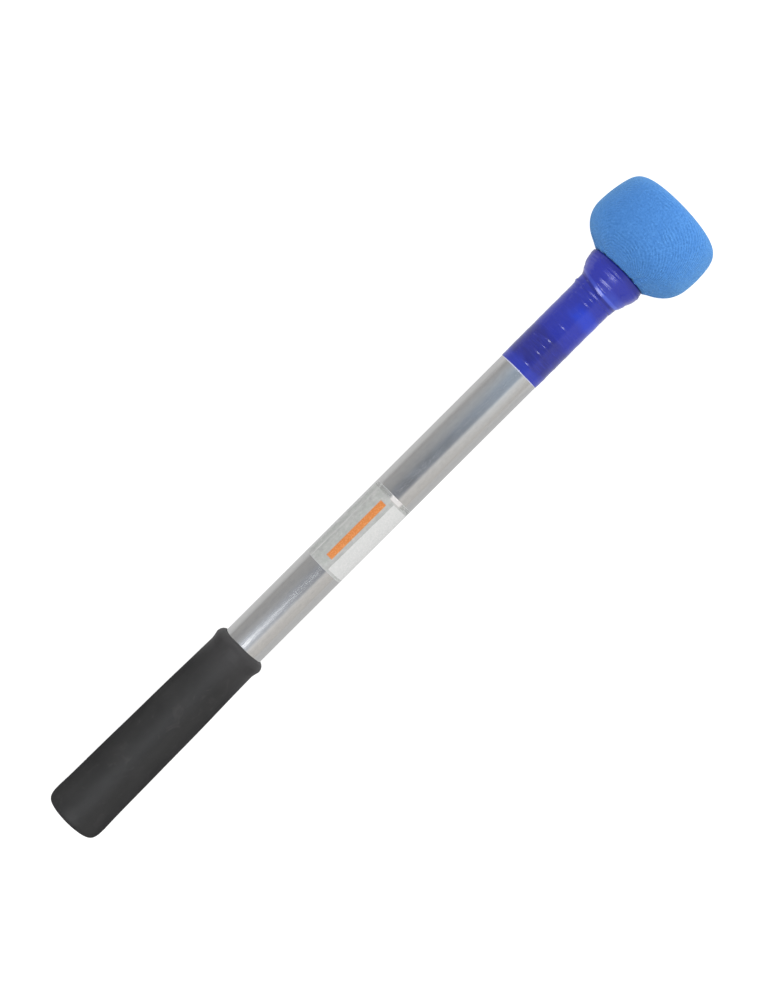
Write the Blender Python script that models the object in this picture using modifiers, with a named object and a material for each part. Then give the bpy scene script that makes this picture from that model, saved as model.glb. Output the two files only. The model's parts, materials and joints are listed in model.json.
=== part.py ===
"""Surdo mallet: an aluminium tube with a rubber grip at one end and a felt head in a knitted cover at the other.

Every piece is modelled upright along the shaft's axis, as it would stand on its butt, and the empty "mallet_axis" then lays the whole mallet on its side, resting on the butt's edge and on the head's widest ring. In the scene, +X runs from the butt to the head, and +Z is up. The origin is at the centre of the bounding box's base.

Dimensions are millimetres; distances along the shaft are measured from the butt.
"""

import math

import bmesh
import bpy
from mathutils import Matrix, Vector

MM = 0.001

# Round pieces have this many sides, and share them, so that a piece inside another keeps an even gap.
SIDES = 40
SMALL_SIDES = 24
# Half a side's turn brings a flat side, not an edge, to the bottom.
HALF_SIDE = math.pi / SIDES

# Shaft: 3/4 in aluminium tube, 16 gauge
TUBE_R = 9.525
TUBE_WALL = 1.59
TUBE_START = 6.0
TUBE_END = 335.0
TUBE_CHAMFER = 0.3

# Grip: closed rubber sleeve
GRIP_BORE_R = 9.65
GRIP_BORE_END = 5.5
BUTT_FLAT_R = 4.0
BUTT_DOME_R = 35.0
BUTT_DOME_EDGE_R = 9.4
BUTT_ROUND_POWER = 0.65
# Its outer side, from the waist to the widest ring: (distance, radius)
GRIP_TAPER = (
    (95.4, 11.44),
    (82.2, 11.68),
    (65.7, 12.08),
    (49.2, 12.33),
    (32.6, 12.60),
    (16.0, 12.78),
    (7.8, 13.05),
)
LIP_R = 12.05
LIP_AT = 98.9
LIP_END = 102.5
LIP_END_R = 9.9

# Label: clear film on the shaft's upper side
LABEL_START = 148.4
LABEL_END = 189.6
LABEL_SIDES = 16
LABEL_GAP = 0.05
LABEL_THICK = 0.12

# PVC tape on the neck
TAPE_INNER_R = 9.60
TAPE_START = 261.0
START_TURN_END = 264.3
START_TURN_R = 9.80
WRAPS_START = 264.5
WRAPS_END = 302.8
WRAPS_R = 9.84

# The last turns of tape, which climb over the gathered cover
COLLAR_OUTLINE = (
    (303.0, 9.90),
    (305.4, 10.07),
    (307.0, 10.28),
    (308.6, 10.98),
    (310.2, 11.72),
    (311.8, 12.42),
    (313.4, 12.94),
    (315.0, 13.26),
    (316.6, 13.56),
    (317.6, 13.52),
    (318.3, 13.05),
)
COLLAR_INSIDE = (
    (303.0, 9.60),
    (305.4, 9.74),
    (307.2, 9.95),
    (309.0, 10.75),
    (310.6, 11.20),
    (312.0, 12.12),
    (318.3, 12.12),
)

# Head outline: two superelliptic halves that meet at the widest ring
HEAD_R = 25.50
HEAD_WIDE_AT = 336.5
HEAD_REAR = 317.0
HEAD_FRONT = 353.95
HEAD_REAR_POWERS = (3.0, 1.9)
HEAD_FRONT_POWERS = (8.1, 3.8)
HEAD_TAPER = 0.13
HEAD_TAPER_POWER = 1.75
# Where the outline has its points: 1 is the middle of the striking face, 0 the widest ring
HEAD_TURNS = (0.93, 0.87, 0.79, 0.7, 0.6, 0.48, 0.34, 0.18)
HEAD_TURNS += (0.02, -0.12, -0.24, -0.36, -0.46, -0.56, -0.66, -0.76)

# Cover: knitted bag, its mouth gathered on the shaft
COVER_THICK = 0.95
SKIRT_START = 309.6
SKIRT_INNER_R = 9.75
SKIRT_R = 10.50
COVER_REAR_R = 11.3

# Lashing: twine round the gathered mouth
TWINE_R = 0.6
LASHING_R = 11.35
LASHING_START = 312.9
LASHING_PITCH = 1.35
LASHING_TURNS = 3

# Foam under the cover
FOAM_OUT = 1.10
FOAM_IN = 2.80
FOAM_REAR_R = 13.0

# Felt
FELT_OUT = 2.95
FELT_SPLIT_R = 18.0
FRONT_PAD_START = 344.8
REAR_RING_START = 322.4
REAR_RING_END = 323.8
REAR_RING_R = 13.2
WINDING_START = 325.4

# Wooden core and dowel, with their fasteners
CORE_START = 324.0
CORE_END = 344.5
CORE_R = 15.0
CORE_BORE_END = 335.4
CORE_RECESS_AT = 341.0
CORE_RECESS_R = 8.2
DOWEL_START = 305.0
DOWEL_R = 7.85
PILOT_R = 2.35
PILOT_END = 316.5
SCREW_R = 2.2
SCREW_TIP = 318.0
SCREW_HEAD_AT = 342.3
SCREW_HEAD_END = 344.3
SCREW_HEAD_R = 4.2
WASHER_AT = 341.05
WASHER_THICK = 1.2
WASHER_R = 7.5
WASHER_HOLE_R = 2.5
PIN_AT = 311.0
PIN_R = 1.5
PIN_HOLE_R = 1.62
PIN_HALF = 9.35


def clear_scene():
    for obj in list(bpy.data.objects):
        bpy.data.objects.remove(obj, do_unlink=True)
    for collection in list(bpy.data.collections):
        bpy.data.collections.remove(collection)


def new_collection(name):
    collection = bpy.data.collections.new(name)
    bpy.context.scene.collection.children.link(collection)
    return collection


def principled(name, color, roughness, metallic=0.0, alpha=1.0):
    material = bpy.data.materials.new(name)
    material.use_nodes = True
    shader = material.node_tree.nodes["Principled BSDF"]
    shader.inputs["Base Color"].default_value = (*color, 1.0)
    shader.inputs["Roughness"].default_value = roughness
    shader.inputs["Metallic"].default_value = metallic
    shader.inputs["Alpha"].default_value = alpha
    material.diffuse_color = (*color, alpha)
    return material


def place(obj, collection, parent, material=None):
    collection.objects.link(obj)
    obj.parent = parent
    if material:
        obj.data.materials.append(material)
    return obj


def turned(name, outline, closed, sides, material):
    """A solid turned round the shaft's axis. The outline holds (distance from the butt, radius), down the outer side from the head's end to the butt's. A closed outline makes a ring; an open one starts and ends on the axis."""
    mesh = bpy.data.meshes.new(name)
    points = [(radius * MM, 0.0, along * MM) for along, radius in outline]
    edges = [(i, i + 1) for i in range(len(points) - 1)]
    if closed:
        edges.append((len(points) - 1, 0))
    mesh.from_pydata(points, edges, [])
    obj = bpy.data.objects.new(name, mesh)
    obj.rotation_euler = (0.0, 0.0, math.pi / sides)
    place(obj, PARTS, AXIS, material)
    screw = obj.modifiers.new("turn", "SCREW")
    screw.axis = "Z"
    screw.angle = 2 * math.pi
    screw.steps = sides
    screw.render_steps = sides
    screw.use_merge_vertices = True
    screw.merge_threshold = 0.000001
    screw.use_smooth_shade = True
    return obj


def cut_across(obj, along, radius):
    """A round hole right through the piece, across the shaft."""
    mesh = bpy.data.meshes.new(obj.name + "_hole")
    shape = bmesh.new()
    bmesh.ops.create_cone(
        shape,
        cap_ends=True,
        segments=16,
        radius1=radius * MM,
        radius2=radius * MM,
        depth=60 * MM,
        matrix=Matrix.Rotation(math.pi / 2, 4, "X"),
    )
    shape.to_mesh(mesh)
    shape.free()
    cutter = bpy.data.objects.new(obj.name + "_hole", mesh)
    cutter.location = (0.0, 0.0, along * MM)
    cutter.display_type = "WIRE"
    cutter.hide_render = True
    place(cutter, CUTTERS, AXIS)
    cut = obj.modifiers.new("hole", "BOOLEAN")
    cut.operation = "DIFFERENCE"
    cut.solver = "EXACT"
    cut.object = cutter


def head_point(turn):
    """(distance, radius) on the head's outline. turn runs from -1, the shaft's side on the axis, over 0, the widest ring, to 1, the middle of the striking face."""
    power_x, power_r = HEAD_FRONT_POWERS if turn > 0 else HEAD_REAR_POWERS
    reach = 1 - (1 - abs(turn)) ** 2
    radius = HEAD_R * (1 - reach**power_x) ** (1 / power_r)
    if turn > 0:
        radius *= 1 - HEAD_TAPER * reach**HEAD_TAPER_POWER
        return HEAD_WIDE_AT + reach * (HEAD_FRONT - HEAD_WIDE_AT), radius
    return HEAD_WIDE_AT - reach * (HEAD_WIDE_AT - HEAD_REAR), radius


def head_layer(inset):
    """The head's outline from the striking face to the shaft's side, moved inwards along its normals. All layers share their turns, which keeps the gaps between them even."""
    points = []
    for turn in HEAD_TURNS:
        ahead, behind = head_point(turn + 0.002), head_point(turn - 0.002)
        run = Vector((ahead[0] - behind[0], ahead[1] - behind[1])).normalized()
        along, radius = head_point(turn)
        points.append((along + run.y * inset, radius - run.x * inset))
    return points


def down_to_radius(points, radius):
    """The points up to where the radius falls below this one, behind the widest ring."""
    kept = [points[0]]
    for last, point in zip(points, points[1:]):
        if last[1] > radius >= point[1]:
            part = (last[1] - radius) / (last[1] - point[1])
            return kept + [(last[0] + (point[0] - last[0]) * part, radius)]
        kept.append(point)
    return kept


def stretch(points, low, high):
    """The points between two distances from the butt, which ends it there."""
    kept = [points[0]] if low <= points[0][0] <= high else []
    for last, point in zip(points, points[1:]):
        for edge in (high, low):
            if point[0] < edge < last[0]:
                part = (last[0] - edge) / (last[0] - point[0])
                kept.append((edge, last[1] + (point[1] - last[1]) * part))
        if low <= point[0] <= high:
            kept.append(point)
    return kept


def grip_outline():
    """The grip's outer side, from the lip's mouth to the butt."""
    points = [(LIP_END, LIP_END_R)]
    for i in range(1, 6):
        angle = i / 5 * math.pi / 2
        points.append(
            (
                LIP_AT + (LIP_END - LIP_AT) * math.cos(angle),
                LIP_END_R + (LIP_R - LIP_END_R) * math.sin(angle),
            )
        )
    waist_at, waist_r = GRIP_TAPER[0]
    widest_at, widest_r = GRIP_TAPER[-1]
    points.append(((LIP_AT + waist_at) / 2 + 0.3, (LIP_R + waist_r) / 2))
    points.extend(GRIP_TAPER)
    dome = BUTT_DOME_R - math.sqrt(BUTT_DOME_R**2 - BUTT_DOME_EDGE_R**2)
    sink = BUTT_DOME_R - math.sqrt(BUTT_DOME_R**2 - BUTT_FLAT_R**2)
    for i in range(1, 5):
        angle = i / 5 * math.pi / 2
        down = math.sin(angle) ** BUTT_ROUND_POWER
        out = math.cos(angle) ** BUTT_ROUND_POWER
        points.append(
            (
                widest_at - (widest_at - (dome - sink)) * down,
                BUTT_DOME_EDGE_R + (widest_r - BUTT_DOME_EDGE_R) * out,
            )
        )
    points.append((dome - sink, BUTT_DOME_EDGE_R))
    middle = (BUTT_DOME_EDGE_R + BUTT_FLAT_R) / 2
    points.append(
        (BUTT_DOME_R - math.sqrt(BUTT_DOME_R**2 - middle**2) - sink, middle)
    )
    points.append((0.0, BUTT_FLAT_R))
    return points


def lowest(points, lean):
    """How far these turned points reach below the axis's start, with the head's end raised by lean."""
    flat = math.cos(HALF_SIDE)
    return min(
        along * math.sin(lean) - radius * flat * math.cos(lean)
        for along, radius in points
    )


def resting_lean(butt, head):
    """The axis's angle at which the butt and the head touch the ground together."""
    low, high = 0.0, 0.2
    for _ in range(60):
        lean = (low + high) / 2
        if lowest(head, lean) < lowest(butt, lean):
            low = lean
        else:
            high = lean
    return (low + high) / 2


def extent_along(points, lean):
    """The least and greatest distance along the ground of these turned points."""
    flat = math.cos(HALF_SIDE)
    reach = [
        along * math.cos(lean) + side * radius * flat * math.sin(lean)
        for along, radius in points
        for side in (-1, 1)
    ]
    return min(reach), max(reach)


clear_scene()
PARTS = new_collection("surdo_mallet")
CUTTERS = new_collection("cutters")

ALUMINIUM = principled("satin_aluminium", (0.62, 0.62, 0.63), 0.32, metallic=1.0)
RUBBER = principled("black_rubber", (0.045, 0.045, 0.047), 0.62)
FILM = principled("clear_film", (0.80, 0.82, 0.80), 0.18, alpha=0.6)
TAPE_START_BLUE = principled("pvc_tape_start", (0.045, 0.075, 0.55), 0.28)
TAPE_BLUE = principled("pvc_tape_neck", (0.040, 0.060, 0.42), 0.28)
TAPE_COLLAR_BLUE = principled("pvc_tape_collar", (0.038, 0.052, 0.40), 0.26)
KNIT = principled("blue_knit", (0.085, 0.31, 0.72), 0.85)
TWINE = principled("cotton_twine", (0.72, 0.68, 0.58), 0.9)
DOWEL_WOOD = principled("dowel_wood", (0.62, 0.45, 0.26), 0.6)
CORE_WOOD = principled("core_wood", (0.68, 0.50, 0.30), 0.55)
PIN_STEEL = principled("pin_steel", (0.55, 0.55, 0.56), 0.3, metallic=1.0)
SCREW_STEEL = principled("screw_steel", (0.60, 0.58, 0.50), 0.3, metallic=1.0)
WASHER_STEEL = principled("washer_steel", (0.58, 0.58, 0.58), 0.35, metallic=1.0)
RING_FELT = principled("rear_felt", (0.70, 0.68, 0.62), 0.95)
INNER_FELT = principled("inner_felt", (0.72, 0.70, 0.64), 0.95)
OUTER_FELT = principled("outer_felt", (0.76, 0.74, 0.68), 0.95)
PAD_FELT = principled("pad_felt", (0.78, 0.76, 0.70), 0.95)
FOAM = principled("thin_foam", (0.80, 0.78, 0.62), 0.9)

# How the mallet lies, from its two outer shapes
GRIP_SIDE = grip_outline()
HEAD_SIDE = down_to_radius(head_layer(0.0), COVER_REAR_R)
LEAN = resting_lean(GRIP_SIDE, HEAD_SIDE)
REACH = extent_along(GRIP_SIDE + HEAD_SIDE, LEAN)

AXIS = bpy.data.objects.new("mallet_axis", None)
AXIS.empty_display_type = "ARROWS"
AXIS.empty_display_size = 0.03
PARTS.objects.link(AXIS)
AXIS.rotation_euler = (0.0, math.pi / 2 - LEAN, 0.0)
AXIS.location = (
    -(REACH[0] + REACH[1]) / 2 * MM,
    0.0,
    -lowest(GRIP_SIDE, LEAN) * MM,
)

# Shaft and grip
tube = turned(
    "shaft_tube",
    [
        (TUBE_END, TUBE_R - TUBE_CHAMFER),
        (TUBE_END - TUBE_CHAMFER, TUBE_R),
        (TUBE_START + TUBE_CHAMFER, TUBE_R),
        (TUBE_START, TUBE_R - TUBE_CHAMFER),
        (TUBE_START, TUBE_R - TUBE_WALL),
        (TUBE_END, TUBE_R - TUBE_WALL),
    ],
    True,
    SIDES,
    ALUMINIUM,
)
cut_across(tube, PIN_AT, PIN_HOLE_R)

turned(
    "handle_grip",
    [(GRIP_BORE_END, 0.0), (GRIP_BORE_END, GRIP_BORE_R), (LIP_END, GRIP_BORE_R)]
    + GRIP_SIDE
    + [(0.0, 0.0)],
    False,
    SIDES,
    RUBBER,
)

# Label, an open strip of the tube's own sides made solid outwards
label_mesh = bpy.data.meshes.new("shaft_label")
label_points, label_faces = [], []
for i in range(LABEL_SIDES + 1):
    # Measured from the top, towards -Y: the strip starts 67.5 degrees short of the top.
    angle = (i - 7.5) * 2 * HALF_SIDE
    out = (TUBE_R + LABEL_GAP) * MM
    for along in (LABEL_START, LABEL_END):
        label_points.append(
            (-out * math.cos(angle), -out * math.sin(angle), along * MM)
        )
for i in range(LABEL_SIDES):
    label_faces.append((2 * i, 2 * i + 2, 2 * i + 3, 2 * i + 1))
label_mesh.from_pydata(label_points, [], label_faces)
label = place(bpy.data.objects.new("shaft_label", label_mesh), PARTS, AXIS, FILM)
solid = label.modifiers.new("film", "SOLIDIFY")
solid.thickness = LABEL_THICK * MM
solid.offset = 1.0
solid.use_even_offset = True

# Tape
turned(
    "tape_start_turn",
    [
        (START_TURN_END, START_TURN_R),
        (TAPE_START, START_TURN_R),
        (TAPE_START, TAPE_INNER_R),
        (START_TURN_END, TAPE_INNER_R),
    ],
    True,
    SIDES,
    TAPE_START_BLUE,
)
turned(
    "neck_tape_wraps",
    [
        (WRAPS_END, WRAPS_R),
        (WRAPS_START, WRAPS_R),
        (WRAPS_START, TAPE_INNER_R),
        (WRAPS_END, TAPE_INNER_R),
    ],
    True,
    SIDES,
    TAPE_BLUE,
)
turned(
    "collar_tape",
    list(reversed(COLLAR_OUTLINE)) + list(COLLAR_INSIDE),
    True,
    SIDES,
    TAPE_COLLAR_BLUE,
)

# Cover: outside from the striking face back to the skirt, then the inside forwards again
cover_in = down_to_radius(head_layer(COVER_THICK), COVER_REAR_R)
turned(
    "head_cover",
    [(HEAD_SIDE[0][0], 0.0)]
    + HEAD_SIDE
    + [
        (HEAD_SIDE[-1][0] - 0.75, SKIRT_R),
        (SKIRT_START, SKIRT_R),
        (SKIRT_START, SKIRT_INNER_R),
        (cover_in[-1][0], SKIRT_INNER_R),
    ]
    + list(reversed(cover_in))
    + [(cover_in[0][0], 0.0)],
    False,
    SIDES,
    KNIT,
)

# Lashing
lashing_curve = bpy.data.curves.new("cover_lashing", "CURVE")
lashing_curve.dimensions = "3D"
lashing_curve.bevel_depth = TWINE_R * MM
lashing_curve.bevel_resolution = 2
lashing_curve.use_fill_caps = True
lashing_line = lashing_curve.splines.new("POLY")
lashing_count = LASHING_TURNS * 24 + 1
lashing_line.points.add(lashing_count - 1)
for i, point in enumerate(lashing_line.points):
    angle = i / 24 * 2 * math.pi
    point.co = (
        LASHING_R * MM * math.cos(angle),
        LASHING_R * MM * math.sin(angle),
        (LASHING_START + LASHING_PITCH * i / 24) * MM,
        1.0,
    )
place(bpy.data.objects.new("cover_lashing", lashing_curve), PARTS, AXIS, TWINE)

# Wooden dowel in the tube, with its cross pin
dowel = turned(
    "shaft_dowel",
    [
        (PILOT_END, 0.0),
        (PILOT_END, PILOT_R),
        (TUBE_END, PILOT_R),
        (TUBE_END, DOWEL_R),
        (DOWEL_START + 1.0, DOWEL_R),
        (DOWEL_START, DOWEL_R - 1.0),
        (DOWEL_START, 0.0),
    ],
    False,
    SIDES,
    DOWEL_WOOD,
)
cut_across(dowel, PIN_AT, PIN_HOLE_R)

bpy.ops.mesh.primitive_cylinder_add(
    vertices=16, radius=PIN_R * MM, depth=2 * PIN_HALF * MM
)
pin = bpy.context.object
pin.name = pin.data.name = "dowel_pin"
for owner in list(pin.users_collection):
    owner.objects.unlink(pin)
place(pin, PARTS, AXIS, PIN_STEEL)
pin.location = (0.0, 0.0, PIN_AT * MM)
pin.rotation_euler = (math.pi / 2, 0.0, 0.0)
pin.data.shade_smooth()
pin.data.set_sharp_from_angle(angle=math.radians(40))

# Wooden core, with the screw and washer that hold it on the dowel
turned(
    "head_core",
    [
        (CORE_RECESS_AT, PILOT_R),
        (CORE_RECESS_AT, CORE_RECESS_R),
        (CORE_END, CORE_RECESS_R),
        (CORE_END, CORE_R - 0.8),
        (CORE_END - 0.8, CORE_R),
        (CORE_START + 0.8, CORE_R),
        (CORE_START, CORE_R - 0.8),
        (CORE_START, GRIP_BORE_R),
        (CORE_BORE_END, GRIP_BORE_R),
        (CORE_BORE_END, PILOT_R),
    ],
    True,
    SIDES,
    CORE_WOOD,
)
turned(
    "core_screw",
    [
        (SCREW_HEAD_END, 0.0),
        (SCREW_HEAD_END, SCREW_HEAD_R * 0.55),
        (SCREW_HEAD_END - 0.7, SCREW_HEAD_R * 0.9),
        (SCREW_HEAD_AT + 0.4, SCREW_HEAD_R),
        (SCREW_HEAD_AT, SCREW_HEAD_R),
        (SCREW_HEAD_AT, SCREW_R),
        (SCREW_TIP + 3.5, SCREW_R),
        (SCREW_TIP, 0.0),
    ],
    False,
    SMALL_SIDES,
    SCREW_STEEL,
)
turned(
    "core_washer",
    [
        (WASHER_AT + WASHER_THICK, WASHER_R),
        (WASHER_AT, WASHER_R),
        (WASHER_AT, WASHER_HOLE_R),
        (WASHER_AT + WASHER_THICK, WASHER_HOLE_R),
    ],
    True,
    SMALL_SIDES,
    WASHER_STEEL,
)

# Felt
turned(
    "felt_rear_ring",
    [
        (REAR_RING_END, REAR_RING_R + 1.9),
        (REAR_RING_START, REAR_RING_R),
        (REAR_RING_START, SKIRT_INNER_R),
        (REAR_RING_END, SKIRT_INNER_R),
    ],
    True,
    SIDES,
    RING_FELT,
)
turned(
    "felt_winding_inner",
    [
        (CORE_END, FELT_SPLIT_R),
        (WINDING_START, FELT_SPLIT_R),
        (WINDING_START, CORE_R + 0.15),
        (CORE_END, CORE_R + 0.15),
    ],
    True,
    SIDES,
    INNER_FELT,
)
felt_side = head_layer(FELT_OUT)
winding_side = stretch(felt_side, WINDING_START + 0.6, CORE_END)
turned(
    "felt_winding_outer",
    winding_side
    + [
        (winding_side[-1][0], FELT_SPLIT_R + 0.15),
        (winding_side[0][0], FELT_SPLIT_R + 0.15),
    ],
    True,
    SIDES,
    OUTER_FELT,
)
pad_side = stretch(felt_side, FRONT_PAD_START, HEAD_FRONT)
turned(
    "felt_front_pad",
    [(pad_side[0][0], 0.0)] + pad_side + [(pad_side[-1][0], 0.0)],
    False,
    SIDES,
    PAD_FELT,
)

# Foam layer, open round the shaft
foam_out = down_to_radius(head_layer(FOAM_OUT), FOAM_REAR_R)
foam_in = down_to_radius(head_layer(FOAM_IN), FOAM_REAR_R)
turned(
    "foam_jacket",
    [(foam_out[0][0], 0.0)]
    + foam_out
    + list(reversed(foam_in))
    + [(foam_in[0][0], 0.0)],
    False,
    SIDES,
    FOAM,
)
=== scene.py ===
"""Surdo mallet: the looks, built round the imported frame.

Pieces are modelled along the shaft in its own frame, in metres: X runs from the butt to the head, Z is the mallet's upper side, and an angle round the shaft is 0 at the top and grows towards the side that faces -Y. Distances and radii in the shape functions are millimetres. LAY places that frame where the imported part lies.
"""

import json
import math

import bpy
import numpy as np
from mathutils import Matrix, Vector


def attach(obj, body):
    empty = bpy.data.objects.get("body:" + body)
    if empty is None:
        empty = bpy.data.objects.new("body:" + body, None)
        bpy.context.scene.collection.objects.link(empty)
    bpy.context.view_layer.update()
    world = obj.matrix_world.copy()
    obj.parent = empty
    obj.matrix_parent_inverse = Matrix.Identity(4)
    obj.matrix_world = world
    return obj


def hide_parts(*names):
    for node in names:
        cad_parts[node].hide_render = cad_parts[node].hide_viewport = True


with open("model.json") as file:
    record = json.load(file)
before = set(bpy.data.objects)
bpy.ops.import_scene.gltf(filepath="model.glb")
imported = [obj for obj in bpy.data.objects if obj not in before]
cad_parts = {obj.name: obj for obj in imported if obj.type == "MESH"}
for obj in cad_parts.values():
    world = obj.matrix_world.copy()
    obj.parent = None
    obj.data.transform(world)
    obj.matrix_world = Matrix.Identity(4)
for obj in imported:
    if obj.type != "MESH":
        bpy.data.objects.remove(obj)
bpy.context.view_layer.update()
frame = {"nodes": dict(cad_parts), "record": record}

MM = 0.001
NODES = frame["nodes"]

MOUNTS = {mount["name"]: mount for mount in frame["record"]["mounts"]}
BUTT = Vector(MOUNTS["butt_end"]["pos_m"])
ALONG = (Vector(MOUNTS["striking_face"]["pos_m"]) - BUTT).normalized()
ACROSS = Vector((0.0, 1.0, 0.0))
UPWARDS = ALONG.cross(ACROSS)
LAY = Matrix.Translation(BUTT) @ Matrix((ALONG, ACROSS, UPWARDS)).transposed().to_4x4()


# ---------------------------------------------------------------- camera

TURN = math.radians(44.91)
CAMERA_AT = Vector((0.00855, 0.0012, 0.9697))


def make_camera():
    data = bpy.data.cameras.new("camera")
    data.sensor_fit = "AUTO"
    data.sensor_width = 36.0
    data.lens = 83.66
    data.dof.use_dof = False
    camera = bpy.data.objects.new("camera", data)
    bpy.context.scene.collection.objects.link(camera)
    camera.location = CAMERA_AT
    camera.rotation_euler = (0.0, 0.0, -TURN)
    bpy.context.scene.camera = camera


make_camera()


# ---------------------------------------------------------------- node trees


class Tree:
    """A node tree, with a short call for each kind of node used here. An input is a number, a colour, a vector or another node's output."""

    def __init__(self, owner):
        owner.use_nodes = True
        self.tree = owner.node_tree
        self.tree.nodes.clear()

    def add(self, kind, **settings):
        node = self.tree.nodes.new(kind)
        for name, value in settings.items():
            setattr(node, name, value)
        return node

    def feed(self, socket, value):
        if isinstance(value, bpy.types.NodeSocket):
            self.tree.links.new(value, socket)
        elif isinstance(value, (int, float)):
            socket.default_value = value
        else:
            value = tuple(value)
            if len(value) == 3 and socket.type == "RGBA":
                value = (*value, 1.0)
            socket.default_value = value

    def math(self, operation, a, b=None, c=None, clamp=False):
        node = self.add("ShaderNodeMath", operation=operation, use_clamp=clamp)
        for i, value in enumerate((a, b, c)):
            if value is not None:
                self.feed(node.inputs[i], value)
        return node.outputs[0]

    def vector(self, operation, a, b=None):
        node = self.add("ShaderNodeVectorMath", operation=operation)
        self.feed(node.inputs[0], a)
        if b is not None:
            self.feed(node.inputs[1], b)
        return node.outputs[0]

    def parts(self, vector):
        node = self.add("ShaderNodeSeparateXYZ")
        self.feed(node.inputs[0], vector)
        return node.outputs

    def joined(self, x, y, z=0.0):
        node = self.add("ShaderNodeCombineXYZ")
        for socket, value in zip(node.inputs, (x, y, z)):
            self.feed(socket, value)
        return node.outputs[0]

    def object_mm(self):
        """The point in the piece's own frame, in millimetres."""
        node = self.add("ShaderNodeTexCoord")
        return self.vector("MULTIPLY", node.outputs["Object"], (1000.0,) * 3)

    def uv(self, name):
        return self.add("ShaderNodeUVMap", uv_map=name).outputs[0]

    def noise(self, vector, scale, detail=2.0, rough=0.5, distort=0.0):
        node = self.add("ShaderNodeTexNoise")
        self.feed(node.inputs["Vector"], vector)
        self.feed(node.inputs["Scale"], scale)
        self.feed(node.inputs["Detail"], detail)
        self.feed(node.inputs["Roughness"], rough)
        self.feed(node.inputs["Distortion"], distort)
        return node.outputs[0]

    def cells(self, vector, scale, feature="F1", randomness=1.0):
        node = self.add("ShaderNodeTexVoronoi", feature=feature)
        self.feed(node.inputs["Vector"], vector)
        self.feed(node.inputs["Scale"], scale)
        self.feed(node.inputs["Randomness"], randomness)
        return node.outputs[0]

    def ramp(self, fac, stops, smooth=False):
        """Colours or greys at places from 0 to 1."""
        node = self.add("ShaderNodeValToRGB")
        node.color_ramp.interpolation = "EASE" if smooth else "LINEAR"
        bar = node.color_ramp.elements
        while len(bar) > 1:
            bar.remove(bar[-1])
        for i, (at, colour) in enumerate(stops):
            stop = bar[0] if i == 0 else bar.new(at)
            stop.position = at
            if isinstance(colour, (int, float)):
                colour = (colour,) * 3
            stop.color = (*colour, 1.0)
        self.feed(node.inputs[0], fac)
        return node.outputs[0]

    def within(self, value, low, high, soft):
        """1 between low and high, and 0 outside, with soft edges."""
        rise = self.step(value, low - soft / 2, low + soft / 2)
        fall = self.step(value, high - soft / 2, high + soft / 2)
        return self.math("SUBTRACT", rise, fall, clamp=True)

    def step(self, value, low, high):
        node = self.add("ShaderNodeMapRange", interpolation_type="SMOOTHSTEP")
        self.feed(node.inputs["Value"], value)
        self.feed(node.inputs["From Min"], low)
        self.feed(node.inputs["From Max"], high)
        return node.outputs[0]

    def scaled(self, value, low, high, to_low, to_high):
        node = self.add("ShaderNodeMapRange")
        for name, number in (
            ("Value", value),
            ("From Min", low),
            ("From Max", high),
            ("To Min", to_low),
            ("To Max", to_high),
        ):
            self.feed(node.inputs[name], number)
        return node.outputs[0]

    def mix(self, fac, a, b, blend="MIX"):
        node = self.add("ShaderNodeMix", data_type="RGBA", blend_type=blend)
        self.feed(node.inputs[0], fac)
        self.feed(node.inputs[6], a)
        self.feed(node.inputs[7], b)
        return node.outputs[2]


class Finish(Tree):
    """A material on one Principled shader."""

    def __init__(self, name, **plain):
        self.material = bpy.data.materials.new(name)
        super().__init__(self.material)
        self.shader = self.add("ShaderNodeBsdfPrincipled")
        out = self.add("ShaderNodeOutputMaterial")
        self.tree.links.new(self.shader.outputs[0], out.inputs[0])
        for socket, value in plain.items():
            self.set(socket.replace("_", " "), value)

    def set(self, socket, value):
        self.feed(self.shader.inputs[socket], value)

    def bump(self, height, distance_mm, strength=1.0, under=None):
        node = self.add("ShaderNodeBump")
        self.feed(node.inputs["Strength"], strength)
        self.feed(node.inputs["Distance"], distance_mm * MM)
        self.feed(node.inputs["Height"], height)
        if under is not None:
            self.feed(node.inputs["Normal"], under)
        self.set("Normal", node.outputs[0])
        return node.outputs[0]


# ---------------------------------------------------------------- turned shapes


def through(points, step):
    """A smooth line through these points, with a point about every step. It never overshoots them."""
    points = np.array(points, float)
    run = np.concatenate([[0], np.cumsum(np.hypot(*np.diff(points, axis=0).T))])
    at = np.linspace(0, run[-1], max(2, round(run[-1] / step) + 1))
    found = []
    for values in points.T:
        gap, rise = np.diff(run), np.diff(values)
        slope = rise / gap
        tangent = np.zeros(len(run))
        tangent[0], tangent[-1] = slope[0], slope[-1]
        for i in range(1, len(run) - 1):
            if slope[i - 1] * slope[i] > 0:
                near, far = 2 * gap[i] + gap[i - 1], gap[i] + 2 * gap[i - 1]
                tangent[i] = (near + far) / (near / slope[i - 1] + far / slope[i])
        i = np.clip(np.searchsorted(run, at, side="right") - 1, 0, len(gap) - 1)
        u = (at - run[i]) / gap[i]
        found.append(
            (1 + 2 * u) * (1 - u) ** 2 * values[i]
            + u * (1 - u) ** 2 * gap[i] * tangent[i]
            + u * u * (3 - 2 * u) * values[i + 1]
            + u * u * (u - 1) * gap[i] * tangent[i + 1]
        )
    return np.stack(found, axis=1)


def straight(start, end, step):
    start, end = np.array(start, float), np.array(end, float)
    count = max(2, round(np.linalg.norm(end - start) / step) + 1)
    return start + (end - start) * np.linspace(0, 1, count)[:, None]


def chain(*lines):
    """The lines one after the other, without doubled points."""
    points = np.concatenate([np.array(line, float).reshape(-1, 2) for line in lines])
    keep = np.concatenate([[True], np.hypot(*np.diff(points, axis=0).T) > 1e-5])
    return points[keep]


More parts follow.
